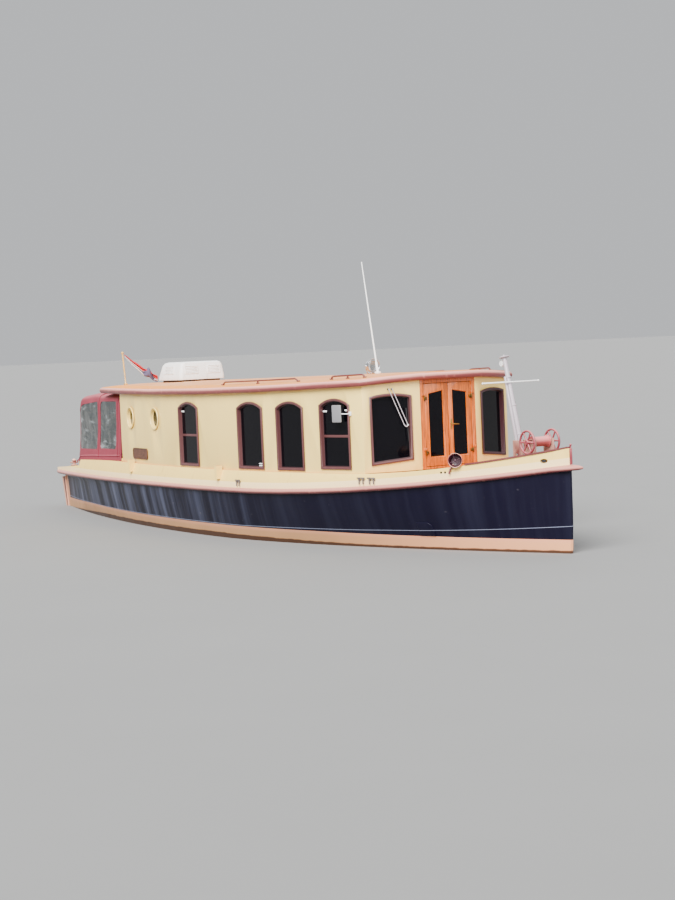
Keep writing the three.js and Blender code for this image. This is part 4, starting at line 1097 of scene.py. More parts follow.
class HOUSEBOAT_OT_portholes(bpy.types.Operator):
    """Makes the round windows near the stern end of the cabin"""

    bl_idname = "houseboat.portholes"
    bl_label = "Portholes"

    def execute(self, context):
        rows = (
            (0.0, -0.062), (0.139, -0.062), (0.139, 0.006), (0.157, 0.006), (0.16, 0.009), (0.16, 0.017),
            (0.156, 0.022), (0.148, 0.023), (0.141, 0.02), (0.136, 0.012), (0.134, -0.018), (0.128, -0.022),
            (0.122, -0.023), (0.122, -0.028), (0.0, -0.028),
        )
        ring = turned("porthole", rows, 48)
        painted(ring, "cream_paint", "tinted_glass")
        recolour(ring, lambda c, n: math.hypot(c.x, c.y) < 0.12 and abs(n.z) > 0.5)
        smooth(ring, 40)
        for side, way in SIDES:
            for i, x in enumerate(PORTHOLE_PLACES, 1):
                slope = (cabin_half(x + 0.005) - cabin_half(x - 0.005)) / 0.01
                out = Vector((-slope, way, 0)).normalized()
                place = aimed((x, way * cabin_half(x), PORTHOLE_Z), out)
                set_in(ring, f"porthole_{side}_{i}", "cream_paint", place)
        remove(ring)
        return {"FINISHED"}


# Doors


def hinge(pin, height, inner, outer, metal):
    """A hinge's knuckle round its pin and the strap on the leaf, between two corners in plan."""
    x, y = pin[:2]
    knuckle = bar("knuckle", (x, y, height - 0.03), (x, y, height + 0.03), 0.0088, 16, soft=0.002)
    strap = soften(block("strap", (*inner, height - 0.018), (*outer, height + 0.018)), 0.003)
    return [painted(knuckle, metal), painted(strap, metal)]


DOOR_FOOT, DOOR_HEAD = 0.964, 1.979
AFT_DOOR_FOOT, AFT_DOOR_RAIL, AFT_DOOR_HEAD = 0.986, 1.36, 1.874
AFT_DOOR_X = -2.447


class HOUSEBOAT_OT_front_doors(bpy.types.Operator):
    """Makes the two varnished and glazed leaves of the front door"""

    bl_idname = "houseboat.front_doors"
    bl_label = "Front doors"

    def execute(self, context):
        face_x = FRONT_X - 0.004
        pin = PINS["door_port_swing"]
        for side, way in SIDES:
            leaf = block("leaf", (face_x - 0.04, 0.005, DOOR_FOOT), (face_x, pin[1] - 0.001, DOOR_HEAD))
            painted(leaf, "varnish", "tinted_glass", "brass")
            for way_out in (1, -1):
                pick(leaf, lambda c, n: n.x * way_out > 0.9)
                inset(0.05)
                leave_edit()
                for vertex in leaf.data.vertices:
                    if vertex.select:
                        top = 1.872 if vertex.co.y > 0.18 else 1.912
                        vertex.co.z = top if vertex.co.z > 1.5 else 1.06
                leaf.data.update()
                bpy.ops.object.mode_set(mode="EDIT")
                inset(0.008, 0.004)
                inset(0.009, -0.004)
                extrude((-0.014 * way_out, 0, 0))
                inset(0.004)
                assign(leaf, 1)
            soften(leaf, 0.0025, 2, 50)
            parts = [leaf]
            for height in (1.13, 1.8):
                inner, outer = (face_x - 0.002, pin[1] - 0.036), (pin[0] - 0.002, pin[1])
                parts += hinge(pin, height, inner, outer, "old_brass")
            if way > 0:
                plate = block("plate", (face_x - 0.001, 0.026, 1.4), (face_x + 0.004, 0.052, 1.53))
                soften(plate, 0.002)
                stem = bar("stem", (face_x, 0.039, 1.47), (face_x + 0.034, 0.039, 1.47), 0.008, 12)
                grip_x = face_x + 0.03
                grip = bar("grip", (grip_x, 0.03, 1.47), (grip_x, 0.14, 1.462), 0.008, 12, 0.006, 0.003)
                parts += [painted(p, "brass") for p in (plate, stem, grip)]
            door = joined(f"front_door_{side}", parts)
            reshape(door, lambda co: Vector((co.x, co.y * way, co.z)))
            face_out(door)
            hand_over(smooth(door), f"door_{side}", "varnish", f"door_leaf_{side}")
        return {"FINISHED"}


class HOUSEBOAT_OT_aft_door(bpy.types.Operator):
    """Makes the panelled door between the cabin and the cockpit"""

    bl_idname = "houseboat.aft_door"
    bl_label = "Aft door"

    def execute(self, context):
        x0 = AFT_DOOR_X
        pin = PINS["door_aft_swing"]
        half = pin[1] - 0.002
        leaf = block("leaf", (x0, -half, AFT_DOOR_FOOT), (x0 + 0.036, half, AFT_DOOR_HEAD))
        bisect(leaf, "z", (AFT_DOOR_RAIL,))
        for way in (1, -1):
            for low, high in ((AFT_DOOR_FOOT, AFT_DOOR_RAIL), (AFT_DOOR_RAIL, AFT_DOOR_HEAD)):
                pick(leaf, lambda c, n: n.x * way > 0.9 and low < c.z < high)
                inset(0.075)
                inset(0.012, -0.008)
                inset(0.02, 0.005)
        soften(leaf, 0.002, 2, 50)
        painted(leaf, "varnish", "brass")
        parts = [leaf]
        for height in (1.13, 1.73):
            parts += hinge(pin, height, (pin[0] + 0.002, pin[1] - 0.04), (x0 + 0.006, pin[1]), "brass")
        knob = turned("knob", (
            (0.0, -0.002), (0.022, -0.002), (0.022, 0.004), (0.009, 0.008), (0.009, 0.026), (0.02, 0.034),
            (0.022, 0.044), (0.014, 0.052), (0.0, 0.053),
        ), 20)
        aim(knob, (x0, -0.25, AFT_DOOR_RAIL), (-1, 0, 0))
        parts.append(painted(knob, "brass"))
        hand_over(assembled("cockpit_door", parts, 35), "door_aft", "varnish", "aft_door")
        return {"FINISHED"}


# Hood over the cockpit

HOOD = (  # place, half width at the foot, at the shoulder, top
    (-2.47, 1.05, 1.03, 1.922), (-2.9, 0.972, 0.948, 1.923), (-3.34, 0.887, 0.862, 1.926),
    (-4.0, 0.741, 0.716, 1.942), (-4.6, 0.594, 0.596, 1.905), (-4.84, 0.532, 0.55, 1.865),
    (-5.01, 0.486, 0.476, 1.745), (-5.1, 0.463, 0.436, 1.44), (-5.185, 0.44, 0.39, 0.965),
    (-5.229, 0.45, 0.415, 0.842),
)
HOOPS = (-2.52, -3.34, -4.0, -4.84)


def coaming_z(x):
    return 0.962 - 0.102 * (-2.47 - x) / 2.745


def along(values, part):
    """A smooth value at one part, from 0 to 1, of a row of values."""
    last = len(values) - 1
    place = min(max(part, 0.0), 1.0) * last
    i = min(int(place), last - 1)
    t = place - i
    a, b, c, d = (values[max(0, min(last, i + k))] for k in (-1, 0, 1, 2))
    return 0.5 * (2 * b + (c - a) * t + (2 * a - 5 * b + 4 * c - d) * t * t + (3 * b - a - 3 * c + d) * t**3)


def hood_point(u, v, stand=0.0):
    """A point of the hood: u from the cabin to the stern, v from the starboard foot over to the port one."""
    x, foot, shoulder, top = (along([row[i] for row in HOOD], u) for i in range(4))
    low = min(coaming_z(x), top - 0.02)
    rise = top - low
    side = (
        (foot + 0.034, low - 0.036), ((foot + shoulder) / 2 + 0.006, low + 0.5 * rise),
        (shoulder, low + 0.86 * rise), (shoulder * 0.89, low + 0.97 * rise),
        (shoulder * 0.5, top), (0.0, top + 0.002), (-shoulder * 0.5, top),
    )
    part = (1 - abs(v)) * 5 / 6
    y, z = along([p[0] for p in side], part), along([p[1] for p in side], part)
    between = min(abs(x - hoop) for hoop in HOOPS)
    sag = 0.014 * min(1.0, between / 0.3) * max(0.0, (z - low) / rise - 0.3)
    scale = 1 + stand / max(0.2, abs(y) + 0.3)
    return Vector((x, math.copysign(y * scale, v), z - sag + stand * 0.6))


def grid_sheet(name, across, down, place, uv_size):
    """A sheet of faces with a UV map in metres, each vertex where place(u, v) says."""
    count = down + 1
    points = [place(i / across, j / down) for i in range(across + 1) for j in range(count)]
    faces = [
        (i * count + j, i * count + j + 1, (i + 1) * count + j + 1, (i + 1) * count + j)
        for i in range(across) for j in range(down)
    ]
    obj = mesh_piece(name, points, faces)
    uv = obj.data.uv_layers.new(name="UVMap").data
    for loop in obj.data.loops:
        i, j = divmod(loop.vertex_index, count)
        uv[loop.index].uv = (i / across * uv_size[0], j / down * uv_size[1])
    return obj


def rounded_outline(corners, radius, steps=6):
    """A polygon's outline with each corner rounded."""
    outline = []
    for i, corner in enumerate(corners):
        here = Vector(corner)
        before = Vector(corners[i - 1]) - here
        after = Vector(corners[(i + 1) % len(corners)]) - here
        reach = min(radius, 0.45 * before.length, 0.45 * after.length)
        for k in range(steps + 1):
            t = k / steps
            bend = before.normalized() * (1 - t) ** 2 + after.normalized() * t**2
            outline.append(here + bend * reach)
    return outline


def prism(name, outline, place, near, far):
    """A closed prism over an outline, for cutting."""
    count = len(outline)
    points = [place(a, b, depth) for depth in (near, far) for a, b in outline]
    faces = [tuple(range(count)), tuple(range(2 * count - 1, count - 1, -1))]
    faces += [(i, i + count, (i + 1) % count + count, (i + 1) % count) for i in range(count)]
    return face_out(mesh_piece(name, points, faces))


def hood_openings(g):
    """Cutters for the clear panels of the hood, each outline wider by g."""
    fore = [(-2.74 + g, 1.09 - g), (-3.63 - g, 1.08 - g), (-3.63 - g, 1.8 + g), (-2.74 + g, 1.81 + g)]
    aft = [(-3.79 + g, 1.06 - g), (-5.03 - g, 1.03 - g), (-4.94 - g, 1.6 + g), (-4.74 - g, 1.74 + g),
           (-3.79 + g, 1.8 + g)]
    back = [(-0.24 - g, 1.12 - g), (0.24 + g, 1.12 - g), (0.3 + g, 1.6 + g), (-0.3 - g, 1.6 + g)]
    pieces = []
    for _, way in SIDES:
        for corners in (fore, aft):
            outline = rounded_outline(corners, 0.09)
            pieces.append(prism("cutter", outline, lambda a, b, d: (a, d * way, b), 0.36, 1.4))
    pieces.append(prism("cutter", rounded_outline(back, 0.08), lambda a, b, d: (d, a, b), -4.86, -5.7))
    return joined("hood_openings", pieces)


def boolean(obj, cutter, operation):
    with_modifier(obj, "BOOLEAN", object=cutter, operation=operation, solver="EXACT")
    bpy.data.objects.remove(cutter)
    return obj


def hood_strip(name, places, width, stand):
    """A narrow band that follows the hood through places (u, v)."""

    def centre(i):
        return hood_point(*(along(row, i) for row in zip(*places)), stand)

    def place(i, j):
        v = along([p[1] for p in places], i)
        here, ahead = centre(i), centre(i + 0.01)
        run = (ahead - here).normalized()
        up = Vector((0, math.copysign(0.3, v), 0.2)) if abs(run.x) > 0.5 else Vector((1, 0, 0))
        return here + run.cross(up.cross(run)).cross(run).normalized() * (j - 0.5) * width

    strip = grid_sheet(name, 40, 1, place, (1.6, width))
    return with_modifier(strip, "SOLIDIFY", thickness=0.0025, offset=0)


def hood_u(x):
    """The part of the hood's length at a place."""
    parts = [i / 400 for i in range(401)]
    return min(parts, key=lambda part: abs(along([row[0] for row in HOOD], part) - x))


class HOUSEBOAT_OT_hood(bpy.types.Operator):
    """Makes the canvas hood over the cockpit with its clear panels, seams and hoops"""

    bl_idname = "houseboat.hood"
    bl_label = "Cockpit hood"

    def execute(self, context):
        skin = context.scene.houseboat_sizes.hood_skin

        def place(i, j):
            co = hood_point(i, j * 2 - 1)
            soft = noise.noise(co * 3.1) * 0.011 + noise.noise(co * 9.0) * 0.004
            if co.z < coaming_z(co.x) + 0.06 or i < 0.03:
                soft *= 0.2
            return co + Vector((0, math.copysign(soft, co.y), -abs(soft) * 0.5))

        canvas = grid_sheet("hood_canvas", 120, 110, place, (3.3, 3.1))
        lining = copy_of(canvas, "hood_clear_panels")
        with_modifier(canvas, "SOLIDIFY", thickness=skin, offset=0)
        boolean(canvas, hood_openings(0.0), "DIFFERENCE")
        reshape(lining, lambda co: Vector((co.x, co.y * (1 - 0.0035 / max(0.1, abs(co.y))), co.z - 0.002)))
        with_modifier(lining, "SOLIDIFY", thickness=0.0012, offset=0)
        boolean(lining, hood_openings(0.018), "INTERSECT")
        painted(canvas, "canvas")
        painted(lining, "clear_sheet")
        seams = []
        for x in (-2.52, -2.64, -3.71):
            u = hood_u(x)
            seams.append(hood_strip("seam", [(u, -0.97 + 1.94 * i / 12) for i in range(13)], 0.022, 0.005))
        for v in (-0.955, 0.955):
            seams.append(hood_strip("seam", [(0.02 + 0.95 * i / 12, v) for i in range(13)], 0.03, 0.005))
        binding = painted(joined("hood_seams", seams), "canvas")
        tubes = []
        for x in HOOPS[1:]:
            u = hood_u(x)
            path = [hood_point(u, -0.93 + 1.86 * i / 28, -0.024) for i in range(29)]
            tubes.append(tube("hoop", path, 0.0105, 12))
        hoops = painted(joined("hood_hoops", tubes), "chrome")
        pair = bar_pair("strut", (-4.8, 0.455, 1.62), (-4.42, 0.578, 1.08), 0.0125, 14, soft=0.003)
        struts = painted(joined("hood_struts", pair), "white_plastic")
        for piece, slot, *replaced in (
            (canvas, "canvas", "cockpit_hood"), (lining, "canvas"), (binding, "canvas"), (hoops, "chrome"),
            (struts, "white_plastic"),
        ):
            hand_over(smooth(piece, 50), "boat", slot, *replaced)
        return {"FINISHED"}


class HOUSEBOAT_OT_flag(bpy.types.Operator):
    """Hangs the flag in folds from the head of its pole"""

    bl_idname = "houseboat.flag"
    bl_label = "Flag"

    def execute(self, context):
        head = Vector((-3.31, -0.512, 2.507))
        run = Vector((0.26, 0.42, 0))
        aside = Vector((-run.y, run.x, 0)).normalized()

        def place(i, j):
            drop = 0.35 * i**0.9
            hem = 1 - j
            tucked = max(0.0, min(1.0, (0.66 - i) / 0.12))
            height = 0.045 + 0.19 * i if i < 0.6 else 0.159 - 0.045 * min(1.0, (i - 0.6) / 0.2)
            rolled = hem / 0.66 if hem < 0.66 else 1 - (hem - 0.66) / 0.5
            hang = height * (tucked * rolled * 0.85 + (1 - tucked) * min(1.0, hem * 1.9))
            swing = 0.007 + 0.016 * min(1.0, i * 4)
            behind = tucked * max(0.0, hem - 0.6) * 0.12 + (1 - tucked) * max(0.0, hem - 0.5) * 0.1
            fold = math.sin(hem * 9 * math.pi + i * 3.4) * swing + behind
            ripple = math.sin(i * 7.0 + j * 2.0) * 0.012 * i
            co = head + run * i + aside * (fold + ripple)
            co.z += -drop - hang + 0.003 * math.sin(i * 20)
            bunch = math.exp(-(((i - 0.73) / 0.13) ** 2))
            turn = math.radians(70) - 2.4 * math.pi * (1 - hem)
            reach = 0.05 + 0.034 * hem + 0.007 * math.sin(i * 40 + hem * 9)
            ball = head + run * i - aside * math.cos(turn) * reach
            ball.z += math.sin(turn) * reach - drop - 0.035
            co = co.lerp(ball, bunch)
            floor = roof_z(co.x, co.y) + 0.01 + 0.016 * (1 + math.sin(j * 19 + i * 5))
            co.z = max(co.z, floor)
            return co

        flag = grid_sheet("flag_cloth", 60, 90, place, (1.0, 1.0))
        painted(flag, "bunting")
        with_modifier(flag, "SOLIDIFY", thickness=0.0016, offset=0)
        hand_over(smooth(flag, 60), "boat", "bunting", "flag")
        return {"FINISHED"}


# Roof gear

LOUVRE_Z = 2.238


def louvre(x, y, turn, wide, lean):
    """A framed panel with four slats, turned and leant to a face of the roof unit."""
    spin = Matrix.Rotation(math.radians(turn), 3, "Z")
    rim = block("rim", (-0.01, -wide / 2 - 0.01, -0.06), (0.004, wide / 2 + 0.01, 0.06))
    pick(rim, lambda c, n: n.x > 0.9)
    inset(0.012)
    extrude((-0.009, 0, 0))
    # Painted shade behind the slats: the recessed back of each louvre is dark.
    assign(rim, 1)
    soften(rim, 0.003)
    pieces = [painted(rim, "white_plastic", "dark_plastic")]
    for i in range(4):
        z = -0.033 + 0.022 * i
        slat = block("slat", (-0.005, -wide / 2, z - 0.0045), (0.003, wide / 2, z + 0.0045))
        reshape(slat, lambda co: Vector((co.x, co.y, co.z - co.x * 0.9)))
        soften(slat, 0.0012)
        pieces.append(painted(slat, "white_plastic"))
    origin = Vector((x, y, LOUVRE_Z))
    panel = joined("louvre", pieces)
    return reshape(panel, lambda co: origin + spin @ Vector((co.x - co.z * lean + 0.002, co.y, co.z)))


class HOUSEBOAT_OT_roof_unit(bpy.types.Operator):
    """Makes the moulded roof unit with its louvres"""

    bl_idname = "houseboat.roof_unit"
    bl_label = "Roof unit"

    def execute(self, context):
        x0, x1, half = -2.51, -1.8, 0.385
        levels = {2.09: (0.0, 0.0, 0.0), 2.14: (0.0, 0.01, 0.0), 2.305: (0.028, 0.08, 0.01),
                  2.34: (0.05, 0.115, 0.018), 2.355: (0.09, 0.16, 0.035)}
        body = block("unit", (x0, -half, 2.09), (x1, half, 2.355))
        bisect(body, "z", (2.14, 2.305, 2.34))
        middle = (x0 + x1) / 2

        def place(co):
            side, aft, fore = levels[min(levels, key=lambda z: abs(z - co.z))]
            return Vector((co.x - fore if co.x > middle else co.x + aft, co.y * (1 - side / half), co.z))

        reshape(body, place)
        bevel_where(body, lambda a, b: abs(a.z - b.z) > 0.01, 0.055, 6)
        painted(body, "white_plastic", "dark_plastic")
        soften(body, 0.006, 3, 25)
        louvres = [louvre(*row) for row in (
            (x1 - 0.004, -0.19, 0, 0.2, 0.06), (x1 - 0.004, 0.19, 0, 0.2, 0.06),
            (middle, -half + 0.015, -90, 0.26, 0.17), (middle, half - 0.015, 90, 0.26, 0.17),
        )]
        foot = block("foot", (x0 + 0.06, -half + 0.06, 2.03), (x1 - 0.06, half - 0.06, 2.1))

        def on_roof(co):
            low = max(co.z, roof_z(co.x, co.y) + 0.001)
            return Vector((co.x, co.y, low if co.z < 2.07 else co.z))

        reshape(foot, on_roof)
        soften(foot, 0.004)
        # Painted shadow: the foot under the unit is dark.
        painted(foot, "dark_plastic")
        unit = assembled("roof_ventilator", [body, foot, *louvres], 35)
        hand_over(unit, "boat", "white_plastic", "roof_unit")
        return {"FINISHED"}


class HOUSEBOAT_OT_searchlight(bpy.types.Operator):
    """Makes the searchlight on its bracket"""

    bl_idname = "houseboat.searchlight"
    bl_label = "Searchlight"

    def execute(self, context):
        z = 2.214
        dish = turned("dish", (
            (0.0, -0.004), (0.03, 0.0), (0.056, 0.012), (0.074, 0.034), (0.084, 0.062), (0.09, 0.094),
            (0.094, 0.1), (0.0955, 0.108), (0.0955, 0.12), (0.092, 0.125), (0.087, 0.124), (0.085, 0.118),
        ), 48)
        lens = turned("lens", (
            (0.0, 0.104), (0.084, 0.104), (0.086, 0.113), (0.06, 0.119), (0.03, 0.122), (0.0, 0.123),
        ), 48)
        painted(dish, "chrome")
        painted(lens, "clear_glass")
        parts = [aim(p, (2.592, 0, z), (1, 0, 0)) for p in (dish, lens)]
        base_z = roof_z(2.65, 0) + 0.001
        base = turned("base", (
            (0.0, 0.0), (0.052, 0.0), (0.055, 0.004), (0.054, 0.009), (0.03, 0.014), (0.016, 0.02),
            (0.0135, 0.03), (0.0135, 0.05), (0.0, 0.05),
        ), 32)
        aim(base, (2.65, 0, base_z), (0, 0, 1))
        cradle = [
            (2.65, y, min(z, z - 0.118 + (1.14 * abs(y)) ** 4 * 900))
            for y in (-0.088, -0.07, -0.04, 0, 0.04, 0.07, 0.088)
        ]
        yoke = tube("yoke", cradle, 0.007, 12)
        bolts = bar_pair("bolt", (2.65, 0.078, z), (2.65, 0.1, z), 0.011, 16, soft=0.002)
        parts += [painted(p, "chrome") for p in (base, yoke, *bolts)]
        hand_over(assembled("searchlight_lamp", parts), "boat", "chrome", "searchlight")
        return {"FINISHED"}


# Foredeck gear


def hand_wheel(spokes, radius=0.131):
    """A spoked wheel about Z with a grip that stands out of its rim."""
    clear_selection()
    bpy.ops.mesh.primitive_torus_add(
        major_radius=radius, minor_radius=0.0135, major_segments=64, minor_segments=14
    )
    rim = settle(named("rim"))
    hub = turned("hub", both_ways(((0.03, 0.004), (0.028, 0.014), (0.024, 0.02), (0.0, 0.02))), 28)
    pieces = [rim, hub]
    for i in range(spokes):
        turn = 2 * math.pi * i / spokes
        end = Vector((math.cos(turn), math.sin(turn), 0)) * (radius - 0.004)
        pieces.append(bar("spoke", end * 0.15, end, 0.0115, 12, 0.0095))
    grip = turned("grip", (
        (0.0, 0.0), (0.006, 0.0), (0.006, 0.012), (0.011, 0.02), (0.0125, 0.034), (0.009, 0.05),
        (0.0, 0.052),
    ), 18)
    pieces.append(reshape(grip, lambda co: co + Vector((radius, 0, 0.004))))
    return painted(joined("wheel", pieces), "wheel_paint")


class HOUSEBOAT_OT_windlass(bpy.types.Operator):
    """Makes the windlass drum with its two spoked hand wheels"""

    bl_idname = "houseboat.windlass"
    bl_label = "Windlass"

    def execute(self, context):
        x, _, z = PINS["windlass_turn"]
        wheel_y = 0.184
        wheel = hand_wheel(context.scene.houseboat_sizes.spokes)
        parts = [
            aim(copy_of(wheel, "wheel_side"), (x, wheel_y * way, z), (0, way, 0)) for way in (-1, 1)
        ]
        remove(wheel)
        drum = turned("drum", both_ways((
            (0.058, 0.0), (0.058, 0.05), (0.06, 0.1), (0.069, 0.102), (0.072, 0.105), (0.072, 0.11),
            (0.07, 0.112), (0.0, 0.112),
        )), 40)
        axle = bar("axle", (0, 0, -wheel_y), (0, 0, wheel_y), 0.0158, 20)
        core = joined("core", [painted(drum, "drum_paint"), painted(axle, "wheel_paint")])
        core = aim(core, (x, 0, z), (0, 1, 0))
        piece = assembled("windlass_wheels", [core, *parts])
        hand_over(piece, "windlass", "maroon_paint", "windlass_drum")
        return {"FINISHED"}


class HOUSEBOAT_OT_cowl(bpy.types.Operator):
    """Makes the bell-mouthed cowl on the starboard bulwark"""

    bl_idname = "houseboat.cowl"
    bl_label = "Cowl"

    def execute(self, context):
        bell = turned("bell", (
            (0.0, -0.058), (0.034, -0.057), (0.052, -0.05), (0.061, -0.036), (0.064, -0.012), (0.07, 0.016),
            (0.08, 0.042), (0.087, 0.052), (0.0875, 0.056), (0.084, 0.058), (0.079, 0.053), (0.068, 0.03),
            (0.06, 0.0), (0.055, -0.03), (0.0, -0.04),
        ), 48)
        painted(bell, "maroon_paint", "cowl_inside")
        # Painted shade inside the bell, on its spider and on its boss.
        recolour(bell, lambda c, n: math.hypot(c.x, c.y) < 0.08 and c.z < 0.055 and n.z > 0.1)
        parts = [bell]
        for turn in (0.4, 1.97):
            x, y = math.cos(turn) * 0.066, math.sin(turn) * 0.066
            parts.append(painted(bar("spider", (x, y, 0.03), (-x, -y, 0.03), 0.0035, 10), "cowl_inside"))
        parts.append(painted(bar("boss", (0, 0, 0.02), (0, 0, 0.042), 0.014, 20, soft=0.003), "cowl_inside"))
        heading = Vector((0.8, -0.8, 0.1)).normalized()
        head = aim(joined("head", parts), (5.335, -0.687, 1.085), heading)
        bend = [(5.268, -0.742, 0.93), (5.275, -0.738, 0.97), (5.295, -0.722, 1.01), (5.316, -0.703, 1.04)]
        stalk = painted(tube("stalk", bend, 0.0125, 14), "maroon_paint")
        hand_over(assembled("bow_cowl", [head, stalk]), "boat", "maroon_paint", "cowl")
        return {"FINISHED"}


MAST_PIN_X, _, MAST_PIN_Z = PINS["mast_lower"]
MAST_LEAN = Vector((-0.28, 0, 1.15))


def mast_at(z, ahead=0.0, aside=0.0):
    """A place on the mast's middle line at a height, or this far off it."""
    return (MAST_PIN_X + MAST_LEAN.x * (z - MAST_PIN_Z) / MAST_LEAN.z + ahead, aside, z)


class HOUSEBOAT_OT_mast(bpy.types.Operator):
    """Makes the lowering mast with its cap, block, rod and doubled foot"""

    bl_idname = "houseboat.mast"
    bl_label = "Mast"

    def execute(self, context):
        lean = MAST_LEAN.normalized()
        spar = bar("spar", mast_at(0.985), mast_at(2.27), 0.036, 32, 0.026, 0.004)
        twin = bar("twin", mast_at(1.285, 0, -0.051), mast_at(2.04, 0, -0.043), 0.019, 24, 0.015, 0.005)
        cap = turned("cap", (
            (0.0, -0.008), (0.02, -0.008), (0.05, 0.0), (0.062, 0.004), (0.062, 0.011), (0.056, 0.016),
            (0.03, 0.02), (0.012, 0.026), (0.01, 0.034), (0.0, 0.036),
        ), 40)
        aim(cap, mast_at(2.262), lean)
        parts = [spar, twin, cap]
        for z in (1.36, 1.7, 2.03):
            x = mast_at(z)[0]
            ring = turned("band", both_ways(((0.0375, 0.009), (0.031, 0.011))), 32)
            parts.append(aim(ring, mast_at(z), lean))
            clamp = block("clamp", (x - 0.012, -0.05, z - 0.009), (x + 0.012, -0.02, z + 0.009))
            soften(clamp, 0.003)
            parts.append(clamp)
        mast = painted(joined("mast_spar", parts), "mast_paint")
        rod_end, rod_tip = mast_at(1.975, 0.035, 0.41), mast_at(1.975, 0.035, 0.424)
        rod = bar("rod", mast_at(1.975, 0.035, -0.42), mast_at(1.975, 0.035, 0.42), 0.0085, 16, soft=0.003)
        ends = bar_pair("end", rod_end, rod_tip, 0.012, 16, soft=0.004)
        rows = both_ways(((0.03, 0.003), (0.036, 0.012), (0.034, 0.016), (0.0, 0.016)))
        sheave = turned("sheave", rows, 28)
        x = mast_at(2.2)[0]
        aim(sheave, (x - 0.062, 0, 2.196), (0, 1, 0))
        shell = block("shell", (x - 0.078, -0.021, 2.178), (x - 0.046, 0.021, 2.226))
        soften(shell, 0.009, 3)
        bend = ((2.25, 0.02, 2.25), (2.23, 0.045, 2.243), (2.22, 0.058, 2.225), (2.21, 0.06, 2.2))
        strap = tube("strap", [(mast_at(level)[0] - aft, 0, z) for level, aft, z in bend], 0.006, 12)
        pale = painted(joined("pale", [rod, *ends, sheave, shell, strap]), "white_plastic")
        pin_x, pin_z = MAST_PIN_X, MAST_PIN_Z
        pin = bar("pin", (pin_x, -0.084, pin_z), (pin_x, 0.084, pin_z), 0.0118, 24, soft=0.003)
        head = bar("head", (pin_x, -0.09, pin_z), (pin_x, -0.078, pin_z), 0.019, 6, soft=0.002)
        metal = painted(joined("metal", [pin, head]), "chrome")
        hand_over(assembled("lowering_mast", [mast, pale, metal]), "mast", "grey_paint", "mast")
        return {"FINISHED"}


def on_hull(x, z, way, stand=0.0):
    """A place on the hull's outer face and the way out of it."""
    d = 0.01
    slope_x = (hull_half(x + d, z) - hull_half(x - d, z)) / (2 * d)
    slope_z = (hull_half(x, z + d) - hull_half(x, z - d)) / (2 * d)
    out = Vector((-slope_x, way, -slope_z)).normalized()
    return Vector((x, way * hull_half(x, z), z)) + out * stand, out


def side_board(way):
    """A blank board with rounded corners and a sunk face."""
    board = block("board", (0, 0.0005, 0.982), (0.626, 0.017, 1.142))
    bevel_where(board, lambda a, b: abs(a.y - b.y) > 0.01, 0.03, 5, 0.2)
    pick(board, lambda c, n: n.y > 0.9)
    inset(0.012)
    extrude((0, -0.005, 0))
    inset(0.003)
    soften(board, 0.0015, 2)
    return reshape(board, side_wall(-1.87, -1.25, way))


def side_cleat(x, z, way):
    """A cleat on the bulwark: two studs, two legs and the horn across them."""
    pieces = []
    for k in (-0.03, 0.03):
        stud = turned("foot", (
            (0.0, -0.002), (0.014, -0.002), (0.014, 0.004), (0.009, 0.01), (0.007, 0.03), (0.0, 0.03),
        ), 18)
        pieces.append(aim(stud, *on_hull(x + k, z + 0.012, way, 0.001)))
        low, _ = on_hull(x + k, z - 0.04, way, 0.018)
        high, _ = on_hull(x + k, z + 0.038, way, 0.024)
        pieces.append(bar("leg", low, high, 0.0082, 14, soft=0.002))
    aft, fore = (on_hull(x + k, z + 0.028, way, 0.027)[0] for k in (-0.058, 0.058))
    return pieces + [bar("horn", aft, fore, 0.0092, 14, soft=0.003)]


def hawse_rim(x, z, long, high, metal, way):
    """An oval rim on the bulwark round its opening, which is a flat dark disc of painted shade."""
    ring = turned("ring", (
        (0.0, 0.003), (0.62, 0.003), (0.68, 0.006), (0.76, 0.008), (0.9, 0.008), (1.0, 0.004),
        (1.02, -0.004),
    ), 40)
    painted(ring, metal, "rubber")
    # Painted shade: the opening inside the rim is a flat dark rubber disc.
    recolour(ring, lambda c, n: c.z > 0 and math.hypot(c.x, c.y) < 0.62)
    reshape(ring, lambda co: Vector((co.x * long, co.y * high, co.z)))
    return aim(ring, *on_hull(x, z, way))


def bow_pad(way):
    """A raised pad on the bow with its upper fore corner rounded, bent to the hull."""
    pad = block("pad", (4.68, 0, 0.172), (4.895, 0.018, 0.338))
    bevel_where(pad, lambda a, b: abs(a.y - b.y) > 0.01 and a.x > 4.75 and a.z > 0.2, 0.075, 8)
    bisect(pad, "x", [4.68 + 0.0215 * i for i in range(1, 10)])
    soften(pad, 0.006, 3, 60)

    def place(co):
        on_face, out = on_hull(co.x, co.z, way)
        return on_face + out * (co.y - 0.009)

    return reshape(pad, place)


CLEATS = ((4.04, 0.838), (4.2, 0.84), (1.66, 0.762))
HAWSES = (  # place, height, half length, half height, finish of the rim
    (6.33, 1.07, 0.045, 0.0225, "old_brass"),
    (5.15, 0.945, 0.012, 0.012, "rubber"),
    (5.2, 0.947, 0.012, 0.012, "rubber"),
)


